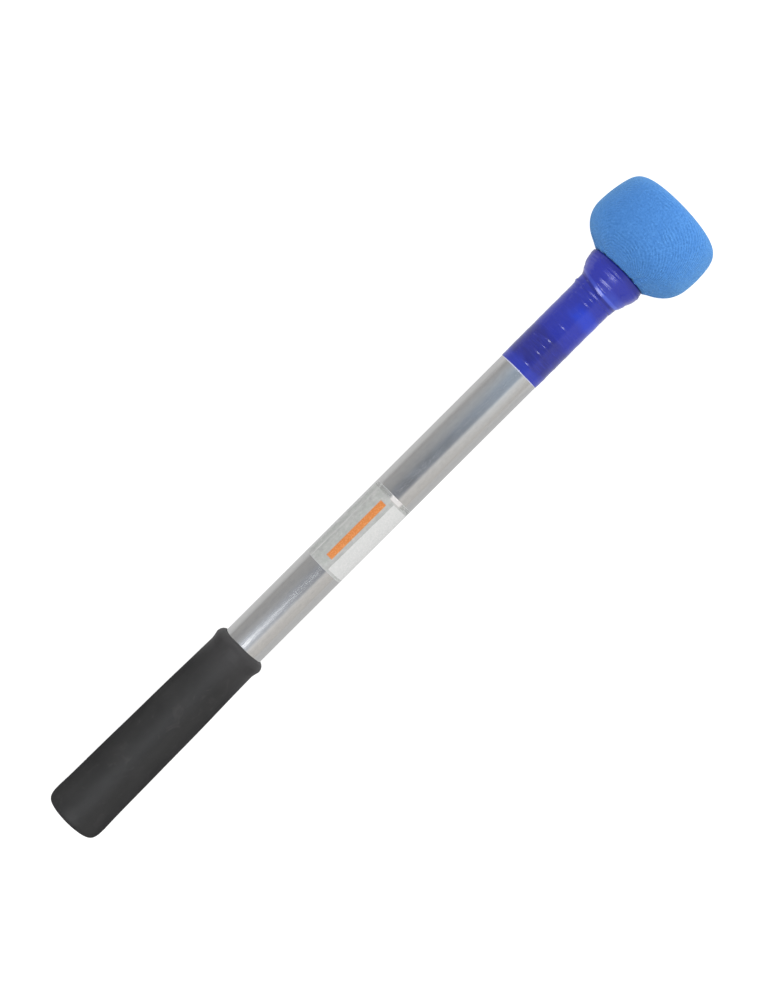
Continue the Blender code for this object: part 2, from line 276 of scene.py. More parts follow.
def mesh_object(name, points_mm, faces, maps, material):
    """A smooth-shaded mesh in the shaft's frame. maps holds a (u, v) pair for each corner of each face, by name."""
    mesh = bpy.data.meshes.new(name)
    mesh.from_pydata((np.asarray(points_mm) * MM).tolist(), [], faces)
    for map_name, corners in maps.items():
        layer = mesh.uv_layers.new(name=map_name)
        layer.data.foreach_set("uv", np.asarray(corners, np.float32).ravel())
    mesh.shade_smooth()
    mesh.set_sharp_from_angle(angle=math.radians(50))
    mesh.materials.append(material)
    piece = bpy.data.objects.new(name, mesh)
    bpy.context.scene.collection.objects.link(piece)
    piece.matrix_world = LAY
    return piece


def turned(name, line, material, sides=192, shape=None, loop=False, maps=None):
    """A shape turned round the shaft from a line of (distance, radius). A line that starts or ends on the axis closes there, and loop joins its end to its start. shape(x, r, angle, run) returns the points' x, y and z, and maps holds functions of the same values for more UV maps."""
    line = np.array(line, float)
    run = np.concatenate([[0], np.cumsum(np.hypot(*np.diff(line, axis=0).T))])
    total = run[-1] + (np.hypot(*(line[0] - line[-1])) if loop else 0)
    rows = len(line)
    turn = np.arange(sides) / sides * 2 * np.pi
    x, angle = np.meshgrid(line[:, 0], turn, indexing="ij")
    r = np.repeat(line[:, 1:2], sides, axis=1)
    along = np.repeat(run[:, None], sides, axis=1)
    if shape is None:
        points = np.stack([x, -r * np.sin(angle), r * np.cos(angle)], axis=-1)
    else:
        points = np.stack(shape(x, r, angle, along), axis=-1)

    # A row on the axis is one point, so its faces are triangles.
    index = np.arange(rows * sides).reshape(rows, sides)
    poles = [row for row in (0, rows - 1) if line[row, 1] < 1e-6]
    for row in poles:
        points[row] = points[row].mean(axis=0)
        index[row] = index[row, 0]
    flat = points.reshape(-1, 3)
    last = rows if loop else rows - 1
    i, j = np.repeat(np.arange(last), sides), np.tile(np.arange(sides), last)
    row_of = np.stack([i, i, i + 1, i + 1], axis=1)
    column_of = np.stack([j, j + 1, j + 1, j], axis=1)
    keep = np.ones(row_of.shape, bool)
    if 0 in poles:
        keep[:sides, 1] = False
    if rows - 1 in poles:
        keep[(last - 1) * sides :, 3] = False
    corner = index[row_of % rows, column_of % sides]
    a, b, c, d = (flat[corner[:, k]] for k in range(4))
    volume = (a * np.cross(b, c)).sum() + (a * np.cross(c, d)).sum()
    if volume < 0:
        row_of, column_of = row_of[:, ::-1], column_of[:, ::-1]
        corner, keep = corner[:, ::-1], keep[:, ::-1]
    used, corner = np.unique(corner, return_inverse=True)
    corner = corner.reshape(keep.shape)
    faces = [row[kept].tolist() for row, kept in zip(corner, keep)]
    row_of, column_of = row_of[keep], column_of[keep]
    bake = np.stack([column_of / sides, np.append(run, total)[row_of] / total], axis=1)
    found = {"OFBake": 0.002 + 0.996 * bake}
    for map_name, function in (maps or {}).items():
        grid = np.stack(function(x, r, angle, along), axis=-1)
        found[map_name] = grid[row_of % rows, column_of % sides]
    return mesh_object(name, flat[used], faces, found, material)


def settle(piece, slot, *nodes):
    """The piece rides on the mallet's one body, and stands for these CAD nodes."""
    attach(piece, "root")
    if nodes:
        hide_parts(*nodes)
    return piece


def ring_sum(angle, waves):
    """A wave round the shaft, from (count, size, phase) of its parts."""
    return sum(size * np.sin(count * angle + phase) for count, size, phase in waves)


def bell(value, centre, width):
    return np.exp(-(((value - centre) / width) ** 2))


def rise(value, low, high):
    t = np.clip((value - low) / (high - low), 0, 1)
    return t * t * (3 - 2 * t)


def side_of(angle):
    """The angle as a number from -pi to pi."""
    return (angle + np.pi) % (2 * np.pi) - np.pi


# ---------------------------------------------------------------- aluminium tube

TUBE_R = 9.525
TUBE_WALL = 1.59
TUBE_START, TUBE_END = 6.0, 335.0
PIN_AT, PIN_HOLE_R = 311.0, 1.62


def aluminium():
    """Drawn tube, gone satin with handling: soft lines along it, patches of haze and a few scuffs."""
    f = Finish("drawn_aluminium", Metallic=1.0)
    point = f.object_mm()
    broad = f.noise(f.vector("MULTIPLY", point, (0.010, 1.0, 1.0)), 0.55, 2.0, 0.5)
    fine = f.noise(f.vector("MULTIPLY", point, (0.020, 1.0, 1.0)), 3.0, 3.0, 0.6)
    haze = f.noise(f.vector("MULTIPLY", point, (0.40, 1.0, 1.0)), 0.20, 4.0, 0.62, 0.5)
    mottle = f.noise(f.vector("MULTIPLY", point, (0.6, 1.0, 1.0)), 0.75, 3.0, 0.6)
    # Short scuffs across the draw lines
    bent = f.vector("ADD", point, f.vector("MULTIPLY", f.noise(point, 0.12), (4.0,) * 3))
    scuff = f.noise(f.vector("MULTIPLY", bent, (1.6, 0.22, 0.22)), 1.1, 5.0, 0.75)
    scuff = f.math("MULTIPLY", f.step(scuff, 0.63, 0.76), f.step(haze, 0.46, 0.66))
    tone = f.math("ADD", f.math("MULTIPLY", broad, 0.35), f.math("MULTIPLY", fine, 0.25))
    tone = f.math("ADD", tone, f.math("MULTIPLY", mottle, 0.40))
    colour = f.ramp(
        tone,
        (
            (0.32, (0.515, 0.515, 0.520)),
            (0.50, (0.560, 0.559, 0.557)),
            (0.68, (0.595, 0.592, 0.587)),
        ),
    )
    colour = f.mix(f.math("MULTIPLY", scuff, 0.25), colour, (0.70, 0.69, 0.68))
    f.set("Base Color", colour)
    rough = f.scaled(haze, 0.32, 0.70, 0.12, 0.17)
    rough = f.math("ADD", rough, f.math("MULTIPLY", scuff, 0.06))
    f.set("Roughness", rough)
    height = f.math("ADD", f.math("MULTIPLY", fine, 0.5), f.math("MULTIPLY", mottle, 0.5))
    f.bump(height, 0.0014)
    return f.material


def make_tube(material):
    inner = TUBE_R - TUBE_WALL
    bevel = 0.3
    line = chain(
        [(TUBE_END, inner), (TUBE_END, TUBE_R - bevel)],
        through(
            [
                (TUBE_END, TUBE_R - bevel),
                (TUBE_END - 0.09, TUBE_R - 0.09),
                (TUBE_END - bevel, TUBE_R),
            ],
            0.08,
        ),
        straight((TUBE_END - bevel, TUBE_R), (TUBE_START + bevel, TUBE_R), 2.0),
        through(
            [
                (TUBE_START + bevel, TUBE_R),
                (TUBE_START + 0.09, TUBE_R - 0.09),
                (TUBE_START, TUBE_R - bevel),
            ],
            0.08,
        ),
        straight((TUBE_START, inner), (TUBE_END, inner), 8.0),
    )
    tube = turned("shaft_tube_fine", line, material, sides=192, loop=True)
    return drilled(tube, 0.5 * (TUBE_END - PIN_AT) / (TUBE_END - TUBE_START))


def drilled(tube, spot):
    """Takes the cross pin's hole out of this piece. Its wall takes its finish from this height of the piece's map."""
    sides, reach = 48, TUBE_R + 3
    points, faces = [], []
    for y in (-reach, reach):
        for k in range(sides):
            a = 2 * math.pi * k / sides
            points.append(
                (PIN_AT + PIN_HOLE_R * math.cos(a), y, PIN_HOLE_R * math.sin(a))
            )
    for k in range(sides):
        n = (k + 1) % sides
        faces.append([k, k + sides, n + sides, n])
    faces += [list(range(sides)), list(range(2 * sides - 1, sides - 1, -1))]
    corners = []
    for face in faces:
        for k in face:
            a = 2 * math.pi * (k % sides) / sides
            corners.append((0.25 + 0.01 * math.sin(a), spot + 0.001 * math.cos(a)))
    drill = mesh_object("drill", points, faces, {"OFBake": corners}, tube.data.materials[0])
    cut_out(tube, drill)
    return tube


def cut_out(piece, cutter):
    """Takes the cutter's shape out of the piece."""
    hole = piece.modifiers.new("hole", "BOOLEAN")
    hole.operation, hole.solver, hole.object = "DIFFERENCE", "EXACT", cutter
    bpy.context.view_layer.update()
    cut = bpy.data.meshes.new_from_object(
        piece.evaluated_get(bpy.context.evaluated_depsgraph_get())
    )
    piece.modifiers.clear()
    piece.data = cut
    cut.set_sharp_from_angle(angle=math.radians(50))
    bpy.data.objects.remove(cutter)


# ---------------------------------------------------------------- rubber grip

GRIP_BORE_R, GRIP_BORE_END = 9.65, 5.5
BUTT_FLAT_R, BUTT_DOME_R, BUTT_DOME_EDGE_R = 4.0, 35.0, 9.4
BUTT_ROUND_POWER = 0.65
GRIP_TAPER = (
    (95.4, 11.44),
    (82.2, 11.68),
    (65.7, 12.08),
    (49.2, 12.33),
    (32.6, 12.60),
    (16.0, 12.78),
    (7.8, 13.05),
)
LIP_R, LIP_AT, LIP_END, LIP_END_R = 12.15, 98.8, 102.1, 9.9


def rubber():
    """Smooth moulded rubber, a little polished by hands, with worn smudges."""
    f = Finish("black_rubber")
    f.set("Specular IOR Level", 0.24)
    point = f.object_mm()
    cloud = f.noise(f.vector("MULTIPLY", point, (0.45, 1.0, 1.0)), 0.11, 4.0, 0.6, 0.6)
    smudge = f.noise(f.vector("MULTIPLY", point, (0.8, 1.0, 1.0)), 0.16, 3.0, 0.6, 1.2)
    grain = f.noise(point, 2.6, 4.0, 0.65)
    dust = f.noise(point, 9.0, 2.0, 0.5)
    tone = f.math("ADD", f.math("MULTIPLY", cloud, 0.78), f.math("MULTIPLY", dust, 0.22))
    colour = f.ramp(
        tone,
        (
            (0.30, (0.0235, 0.0235, 0.0240)),
            (0.50, (0.0290, 0.0288, 0.0292)),
            (0.70, (0.0360, 0.0356, 0.0362)),
        ),
    )
    worn = f.step(smudge, 0.56, 0.74)
    colour = f.mix(f.math("MULTIPLY", worn, 0.60), colour, (0.0520, 0.0490, 0.0498))
    # Lighter towards the mouth
    x, _, _ = f.parts(point)
    colour = f.mix(f.scaled(x, 82.0, 100.0, 0.0, 0.60), colour, (0.0560, 0.0540, 0.0560))
    f.set("Base Color", colour)
    rough = f.scaled(cloud, 0.3, 0.7, 0.46, 0.58)
    f.set("Roughness", f.math("ADD", rough, f.math("MULTIPLY", worn, 0.10)))
    f.bump(grain, 0.04, 0.6)
    return f.material


def grip_line():
    """The grip's outer side from the mouth's rim to the butt's middle."""
    lip = [
        (
            LIP_AT + (LIP_END - LIP_AT) * math.cos(a),
            LIP_END_R + (LIP_R - LIP_END_R) * math.sin(a),
        )
        for a in np.linspace(0, math.pi / 2, 26)
    ]
    waist_at, waist_r = GRIP_TAPER[0]
    widest_at, widest_r = GRIP_TAPER[-1]
    between = through(
        [
            (LIP_AT, LIP_R),
            ((LIP_AT + waist_at) / 2 + 0.3, (LIP_R + waist_r) / 2),
            (waist_at, waist_r),
        ],
        0.25,
    )
    side = through(GRIP_TAPER, 0.75)
    edge_drop = BUTT_DOME_R - math.sqrt(BUTT_DOME_R**2 - BUTT_DOME_EDGE_R**2)
    flat_drop = BUTT_DOME_R - math.sqrt(BUTT_DOME_R**2 - BUTT_FLAT_R**2)
    a = np.linspace(0, math.pi / 2, 44)
    butt_edge = np.stack(
        [
            widest_at - (widest_at - (edge_drop - flat_drop)) * np.sin(a) ** BUTT_ROUND_POWER,
            BUTT_DOME_EDGE_R + (widest_r - BUTT_DOME_EDGE_R) * np.cos(a) ** BUTT_ROUND_POWER,
        ],
        axis=1,
    )
    r = np.linspace(BUTT_DOME_EDGE_R, BUTT_FLAT_R, 14)
    dome = np.stack(
        [BUTT_DOME_R - np.sqrt(BUTT_DOME_R**2 - r**2) - flat_drop, r], axis=1
    )
    flat = straight((0.0, BUTT_FLAT_R), (0.0, 0.0), 0.5)
    return chain(lip, between, side, butt_edge, dome, flat)


def make_grip(material):
    line = chain(
        [(GRIP_BORE_END, 0.0), (GRIP_BORE_END, GRIP_BORE_R)],
        straight((GRIP_BORE_END, GRIP_BORE_R), (LIP_END - 0.25, GRIP_BORE_R), 4.0),
        [(LIP_END - 0.05, GRIP_BORE_R + 0.1)],
        grip_line(),
    )

    def shape(x, r, angle, run):
        outside = rise(r, GRIP_BORE_R + 0.15, GRIP_BORE_R + 1.0)
        outside = outside * rise(x, 2.0, 12.0)
        soft = ring_sum(angle, ((2, 0.035, 0.4), (3, 0.02, 1.9), (5, 0.012, 0.7)))
        slow = np.sin(x * 0.11 + 0.8 * np.sin(angle)) * 0.025
        # The lip rolls a little unevenly round the mouth.
        lip = bell(x, LIP_AT + 0.6, 3.0) * ring_sum(
            angle, ((1, 0.10, 0.9), (3, 0.05, 2.2), (7, 0.02, 0.3))
        )
        wall = r + outside * (soft + slow + lip)
        pull = rise(x, LIP_AT - 4, LIP_END) * ring_sum(
            angle, ((2, 0.16, 1.1), (5, 0.07, 2.6))
        )
        return x + pull, -wall * np.sin(angle), wall * np.cos(angle)

    return turned("handle_grip_rubber", line, material, sides=192, shape=shape)


# ---------------------------------------------------------------- label

LABEL_START, LABEL_END = 148.4, 189.6
LABEL_FROM, LABEL_TO = -67.5, 76.5
LABEL_R = 9.575
LABEL_THICK = 0.12


def label_film():
    """Clear film with a white strip and a plain orange band printed on it. Its map holds millimetres: u along the shaft from the label's butt end, v round it from the top."""
    f = Finish("label_film")
    u, v, _ = f.parts(f.uv("Print"))
    point = f.object_mm()
    wobble = f.math("SUBTRACT", f.noise(point, 0.8, 3.0, 0.6), 0.5)
    along = f.math("ADD", u, f.math("MULTIPLY", wobble, 0.5))
    round_it = f.math("ADD", v, f.math("MULTIPLY", wobble, 0.35))
    length = LABEL_END - LABEL_START
    # The white strip runs a little askew
    lean = f.math("ADD", round_it, f.math("MULTIPLY", along, -0.012))
    strip = f.math(
        "MULTIPLY",
        f.within(lean, 2.1, 13.5, 0.5),
        f.within(along, 1.0, length - 2.6, 0.9),
    )
    # One straight band of ink, square at both ends
    band = f.math(
        "MULTIPLY",
        f.within(v, -2.5, 0.5, 0.15),
        f.within(u, 5.0, length - 5.0, 0.15),
    )
    ink = f.noise(point, 1.6, 3.0, 0.6)
    orange = f.mix(
        f.scaled(ink, 0.3, 0.7, 0.0, 1.0), (0.70, 0.22, 0.05), (0.80, 0.30, 0.08)
    )
    film = f.ramp(
        f.noise(f.vector("MULTIPLY", point, (0.25, 1.0, 1.0)), 0.9, 3.0, 0.6),
        ((0.3, (0.60, 0.63, 0.60)), (0.7, (0.72, 0.72, 0.71))),
    )
    white = f.ramp(
        f.noise(point, 0.9, 3.0, 0.6),
        ((0.3, (0.68, 0.69, 0.68)), (0.7, (0.76, 0.755, 0.75))),
    )
    # Fine pale and dull lines along the far side
    stretched = f.vector("MULTIPLY", point, (0.1, 1.0, 1.0))
    faint = f.scaled(f.noise(stretched, 0.5), 0.35, 0.6, 0.3, 1.0)
    pale = f.math("MULTIPLY", f.within(v, -7.75, -7.05, 0.5), faint)
    dull = f.math("MULTIPLY", f.within(v, -9.3, -8.6, 0.6), faint)
    colour = f.mix(f.math("MULTIPLY", pale, 0.85), film, (0.84, 0.83, 0.84))
    colour = f.mix(f.math("MULTIPLY", dull, 0.30), colour, (0.42, 0.41, 0.43))
    colour = f.mix(strip, colour, white)
    colour = f.mix(band, colour, orange)
    # The film's cut edges catch the light
    edge = f.math(
        "SUBTRACT",
        1.0,
        f.math(
            "MULTIPLY",
            f.within(u, 0.30, length - 0.30, 0.35),
            f.within(v, -10.9, 14.0, 0.25),
        ),
        clamp=True,
    )
    colour = f.mix(f.math("MULTIPLY", edge, 0.55), colour, (0.80, 0.80, 0.82))
    # Whiter where the film has lifted and crinkled at the end nearest the head: partly frosting, partly a painted
    # highlight on the crinkles
    lifted = f.math(
        "MULTIPLY",
        f.within(u, length - 2.3, length + 1.0, 1.2),
        f.within(round_it, -0.6, 5.2, 1.6),
    )
    colour = f.mix(f.math("MULTIPLY", lifted, 0.85), colour, (0.90, 0.87, 0.86))
    f.set("Base Color", colour)
    haze = f.scaled(f.noise(point, 0.45, 3.0, 0.6), 0.3, 0.7, 0.50, 0.66)
    # The film is clearest over its last millimetres
    end = f.within(u, length - 1.9, length + 1.0, 1.2)
    haze = f.math("MULTIPLY", haze, f.scaled(end, 0.0, 1.0, 1.0, 0.35))
    alpha = f.math("MAXIMUM", haze, f.math("MULTIPLY", strip, 0.94))
    alpha = f.math("MAXIMUM", alpha, f.math("MULTIPLY", band, 0.98))
    alpha = f.math("MAXIMUM", alpha, f.math("MULTIPLY", edge, 0.45))
    alpha = f.math("MAXIMUM", alpha, f.math("MULTIPLY", pale, 0.85))
    alpha = f.math("MAXIMUM", alpha, f.math("MULTIPLY", lifted, 0.80))
    f.set("Alpha", alpha)
    f.set("Roughness", f.scaled(ink, 0.3, 0.7, 0.18, 0.32))
    f.bump(f.noise(f.vector("MULTIPLY", point, (0.6, 1, 1)), 1.4, 3.0, 0.6), 0.02)
    return f.material


def make_label(material):
    """A closed sheet of film on the tube, a little lifted along its ends and crinkled at the corner nearest the head."""
    columns, rows = 150, 90
    length = LABEL_END - LABEL_START
    u = np.linspace(0, length, columns)
    a = np.radians(np.linspace(LABEL_FROM, LABEL_TO, rows))
    U, A = np.meshgrid(u, a, indexing="ij")
    V = A * LABEL_R
    lift = 0.05 * bell(U, 0, 0.7) + 0.10 * bell(U, length, 0.8)
    lift += 0.06 * bell(A, a[0], 0.06) + 0.04 * bell(A, a[-1], 0.05)
    # Crinkles near the head's end, on the side that faces -Y
    near = bell(U, length - 0.6, 1.9) * bell(V, 1.6, 2.2)
    lift += near * (0.16 + 0.11 * np.sin(V * 2.6 + U * 1.1) + 0.07 * np.sin(U * 4.0))
    # Long shallow blisters in the clear part
    lift += 0.03 * bell(V, -9.0, 0.7) * (0.5 + 0.5 * np.sin(U * 0.35 + 1.0))
    lift += 0.02 * bell(V, -6.0, 0.9) * (0.5 + 0.5 * np.sin(U * 0.6))
    lift = np.clip(lift, 0, None)

    # Rounded corners of the cut
    corner = 1.3
    over_u = np.maximum(corner - U, 0) + np.maximum(U - (length - corner), 0)
    low_v, high_v = V.min(), V.max()
    over_v = np.maximum(low_v + corner - V, 0) + np.maximum(V - (high_v - corner), 0)
    far = np.hypot(over_u, over_v)
    pull = np.where(
        (over_u > 0) & (over_v > 0) & (far > corner), corner / np.maximum(far, 1e-9), 1
    )
    U = U + np.sign(length / 2 - U) * over_u * (1 - pull)
    V = V + np.sign((low_v + high_v) / 2 - V) * over_v * (1 - pull)
    A = V / LABEL_R

    def layer(radius):
        return np.stack(
            [U + LABEL_START, -radius * np.sin(A), radius * np.cos(A)], axis=-1
        )

    inner, outer = layer(LABEL_R + lift), layer(LABEL_R + lift + LABEL_THICK * 0.8)
    count = columns * rows
    points = np.concatenate([outer.reshape(-1, 3), inner.reshape(-1, 3)])
    index = np.arange(count).reshape(columns, rows)
    faces = []
    for i in range(columns - 1):
        for j in range(rows - 1):
            quad = [index[i, j], index[i + 1, j], index[i + 1, j + 1], index[i, j + 1]]
            faces.append([int(q) for q in quad])
            faces.append([int(q) + count for q in reversed(quad)])
    rim = (
        [(i, 0) for i in range(columns)]
        + [(columns - 1, j) for j in range(1, rows)]
        + [(i, rows - 1) for i in range(columns - 2, -1, -1)]
        + [(0, j) for j in range(rows - 2, 0, -1)]
    )
    for (a0, b0), (a1, b1) in zip(rim, rim[1:] + rim[:1]):
        p, q = int(index[a0, b0]), int(index[a1, b1])
        faces.append([q, p, p + count, q + count])
    flat_u, flat_v = U.ravel(), V.ravel()
    bake, prints = [], []
    for number, face in enumerate(faces):
        rim_face = number >= 2 * (columns - 1) * (rows - 1)
        for corner_index in face:
            k = corner_index % count
            prints.append((flat_u[k], flat_v[k]))
            s = flat_u[k] / length
            t = (flat_v[k] - low_v) / (high_v - low_v)
            if rim_face:
                bake.append(
                    (0.01 + 0.98 * s, 0.985 + (0.01 if corner_index >= count else 0.0))
                )
            elif corner_index >= count:
                bake.append((0.01 + 0.98 * s, 0.50 + 0.47 * t))
            else:
                bake.append((0.01 + 0.98 * s, 0.01 + 0.47 * t))
    return mesh_object(
        "shaft_label_film", points, faces, {"OFBake": bake, "Print": prints}, material
    )


# ---------------------------------------------------------------- tape

TAPE_INNER_R = 9.56
TAPE_START, START_TURN_END, WRAPS_END = 260.55, 264.4, 302.9
START_R, WRAPS_R = 9.69, 9.71
TAPE_BLUE_FROM = 261.0

# Where a turn's edge rises: (distance, height, flank, fall, lean, phase)
NECK_EDGES = (
    (265.06, 0.105, 0.80, 2.0, 0.10, 0.2),
    (271.5, 0.105, 0.75, 1.6, -0.08, 1.1),
    (274.9, 0.095, 0.70, 1.2, 0.05, 2.3),
    (277.9, 0.105, 0.78, 1.9, 0.09, 0.6),
    (285.6, 0.11, 0.85, 2.4, -0.10, 3.0),
    (294.5, 0.09, 0.80, 2.0, 0.12, 1.7),
    (298.7, 0.10, 0.75, 1.2, -0.06, 0.3),
    (301.4, 0.11, 0.80, 1.0, 0.06, 2.0),
)
COLLAR_POINTS = (
    (303.0, 9.86),
    (305.4, 10.05),
    (307.0, 10.28),
    (308.6, 10.96),
    (309.4, 11.40),
    (310.5, 11.73),
    (311.8, 12.42),
    (313.0, 12.93),
    (314.0, 13.10),
    (315.0, 13.27),
    (316.6, 13.56),
    (317.7, 13.55),
    (318.35, 13.05),
)
COLLAR_INSIDE = (
    (303.0, 9.60),
    (305.4, 9.74),
    (307.2, 9.95),
    (309.0, 10.75),
    (310.6, 11.20),
    (312.0, 12.12),
    (318.1, 12.12),
)


CREASE_AT, CREASE_LEAN, CREASE_BACK = 306.3, 1.18, 1.96


def crease_at(turn):
    """Where the slanting edge of the collar's last turns lies, at this angle."""
    return CREASE_AT - CREASE_LEAN * np.sin(turn) + CREASE_BACK * (1 - np.cos(turn))


def tape(name, layers, rim=None, bright=None, crease=False):
    """Soft glossy PVC tape. layers says how deep the blue is along the shaft, as (distance, colour). Up to rim it is
    pale, bright is (start, end, colour) of a painted highlight on the side that faces -Y, and crease paints light and
    shade at the slanting edge of the collar: a painted glint along the edge, a painted reflection past it and painted
    shade in the groove before it.
    """
    f = Finish(name)
    point = f.object_mm()
    x, y, z = f.parts(point)
    wobble = f.math("SUBTRACT", f.noise(point, 0.16, 2.0, 0.5), 0.5)
    place = f.math("ADD", x, f.math("MULTIPLY", wobble, 3.4))
    low, high = layers[0][0], layers[-1][0]
    colour = f.ramp(
        f.scaled(place, low, high, 0.0, 1.0),
        [((at - low) / (high - low), tint) for at, tint in layers],
    )
    patch = f.noise(f.vector("MULTIPLY", point, (1.0, 0.6, 0.6)), 0.36, 3.0, 0.55, 0.5)
    colour = f.mix(
        f.scaled(patch, 0.38, 0.70, 0.0, 0.30), colour, (0.024, 0.034, 0.44)
    )
    # Thin streaks where the tape was pulled
    streak = f.noise(f.vector("MULTIPLY", point, (2.2, 0.22, 0.22)), 0.8, 2.0, 0.5)
    colour = f.mix(
        f.scaled(streak, 0.52, 0.72, 0.0, 0.28), colour, (0.036, 0.050, 0.50)
    )
    if bright:
        # A painted highlight on the side that faces -Y, where the light falls
        start, end, tint = bright
        side = f.math("ADD", y, f.math("MULTIPLY", wobble, 9.0))
        here = f.math(
            "MULTIPLY", f.within(place, start, end, 3.4), f.step(side, 6.0, -2.0)
        )
        colour = f.mix(f.math("MULTIPLY", here, 0.84), colour, tint)
    if crease:
        r = f.math("SQRT", f.math("ADD", f.math("MULTIPLY", y, y), f.math("MULTIPLY", z, z)))
        sine = f.math("DIVIDE", f.math("MULTIPLY", y, -1.0), r)
        cosine = f.math("DIVIDE", z, r)
        at = f.math("ADD", f.math("MULTIPLY", sine, -CREASE_LEAN), CREASE_AT + CREASE_BACK)
        at = f.math("SUBTRACT", at, f.math("MULTIPLY", cosine, CREASE_BACK))
        past = f.math("SUBTRACT", x, at)
        near_side = f.scaled(sine, -1.0, 0.2, 0.0, 1.0)
        # Painted light at the slanting edge: a painted glint along the line, a painted reflection in the broad band
        # past it on the side that faces -Y, and painted shade in the groove before it
        line = f.math("MULTIPLY", f.within(past, -0.55, 0.75, 0.7), near_side)
        broad = f.math("MULTIPLY", f.within(past, 0.0, 3.6, 2.4), f.step(sine, 0.0, 0.6))
        groove = f.math("MULTIPLY", f.within(past, -1.9, -0.6, 0.9), 0.55)
        colour = f.mix(groove, colour, (0.011, 0.013, 0.17))
        colour = f.mix(f.math("MULTIPLY", broad, 0.55), colour, (0.050, 0.092, 0.62))
        colour = f.mix(f.math("MULTIPLY", line, 0.70), colour, (0.095, 0.155, 0.80))
    if rim:
        edge = f.math("ADD", x, f.math("MULTIPLY", wobble, 0.5))
        colour = f.mix(f.step(edge, rim + 0.10, rim - 0.10), colour, (0.60, 0.62, 0.80))
    f.set("Base Color", colour)
    f.set("Roughness", f.scaled(patch, 0.3, 0.7, 0.12, 0.19))
    f.set("IOR", 1.50)
    fine = f.noise(f.vector("MULTIPLY", point, (1.4, 0.5, 0.5)), 1.6, 3.0, 0.55)
    f.bump(fine, 0.022, 0.8)
    return f.material


def turn_edges(x, angle, edges):
    """How far the tape stands up at the edges of its turns."""
    up = np.zeros_like(x)
    for at, height, flank, fall, lean, phase in edges:
        place = (
            at
            + lean * np.sin(angle + phase)
            + 0.06 * np.sin(5 * angle + phase * 2)
            + 0.03 * np.sin(11 * angle - phase)
        )
        tall = height * (0.85 + 0.15 * np.sin(2 * angle + phase * 3))
        tall = tall * (0.40 + 0.60 * bell(side_of(angle), 0.1, 0.9))
        climb = rise(x, place - flank / 2, place + flank / 2)
        gone = 1 - rise(x, place + flank / 2, place + flank / 2 + fall)
        up += tall * climb * gone
    return up


def make_start_turn(material):
    inner = TAPE_INNER_R
    line = chain(
        [(START_TURN_END, inner), (START_TURN_END, START_R)],
        straight((START_TURN_END, START_R), (TAPE_START + 0.12, START_R), 0.12),
        through(
            [
                (TAPE_START + 0.12, START_R),
                (TAPE_START + 0.03, START_R - 0.04),
                (TAPE_START, START_R - 0.14),
            ],
            0.04,
        ),
        straight((TAPE_START, inner), (START_TURN_END, inner), 1.2),
    )

    def shape(x, r, angle, run):
        outside = rise(r, inner + 0.03, START_R - 0.05)
        up = 0.03 * bell(x, TAPE_START + 0.4, 0.25)
        up = up + 0.02 * np.sin(3 * angle + x * 0.7)
        edge = (1 - rise(x, TAPE_START, TAPE_START + 3.0)) * (
            ring_sum(angle, ((1, 0.05, 0.3), (4, 0.025, 1.3), (9, 0.012, 0.2)))
            + 0.55 * (1 - np.cos(side_of(angle))) ** 1.5 * (np.cos(angle) > -0.2)
        )
        # A thin lip of adhesive comes before the tape itself
        up = up - (START_R - inner - 0.07) * (1 - rise(x, TAPE_BLUE_FROM - 0.1, TAPE_BLUE_FROM + 0.25))
        r = r + outside * up
        return x + edge, -r * np.sin(angle), r * np.cos(angle)

    return turned("tape_start_turn_pvc", line, material, shape=shape, loop=True)


def make_wraps(material):
    inner = TAPE_INNER_R
    line = chain(
        [(WRAPS_END, inner)],
        straight((WRAPS_END, WRAPS_R), (START_TURN_END, WRAPS_R), 0.12),
        straight((START_TURN_END, inner), (WRAPS_END, inner), 1.2),
    )

    def shape(x, r, angle, run):
        outside = r > inner + 0.1
        up = turn_edges(x, angle, NECK_EDGES)
        # Slow swelling between the turns
        up = up + 0.03 * np.sin(x * 0.9 + 1.3 * np.sin(angle + 0.5))
        up = up + 0.02 * np.sin(3 * angle + x * 0.35)
        r = r + outside * up
        return x, -r * np.sin(angle), r * np.cos(angle)

    return turned("neck_tape_pvc", line, material, sides=224, shape=shape, loop=True)


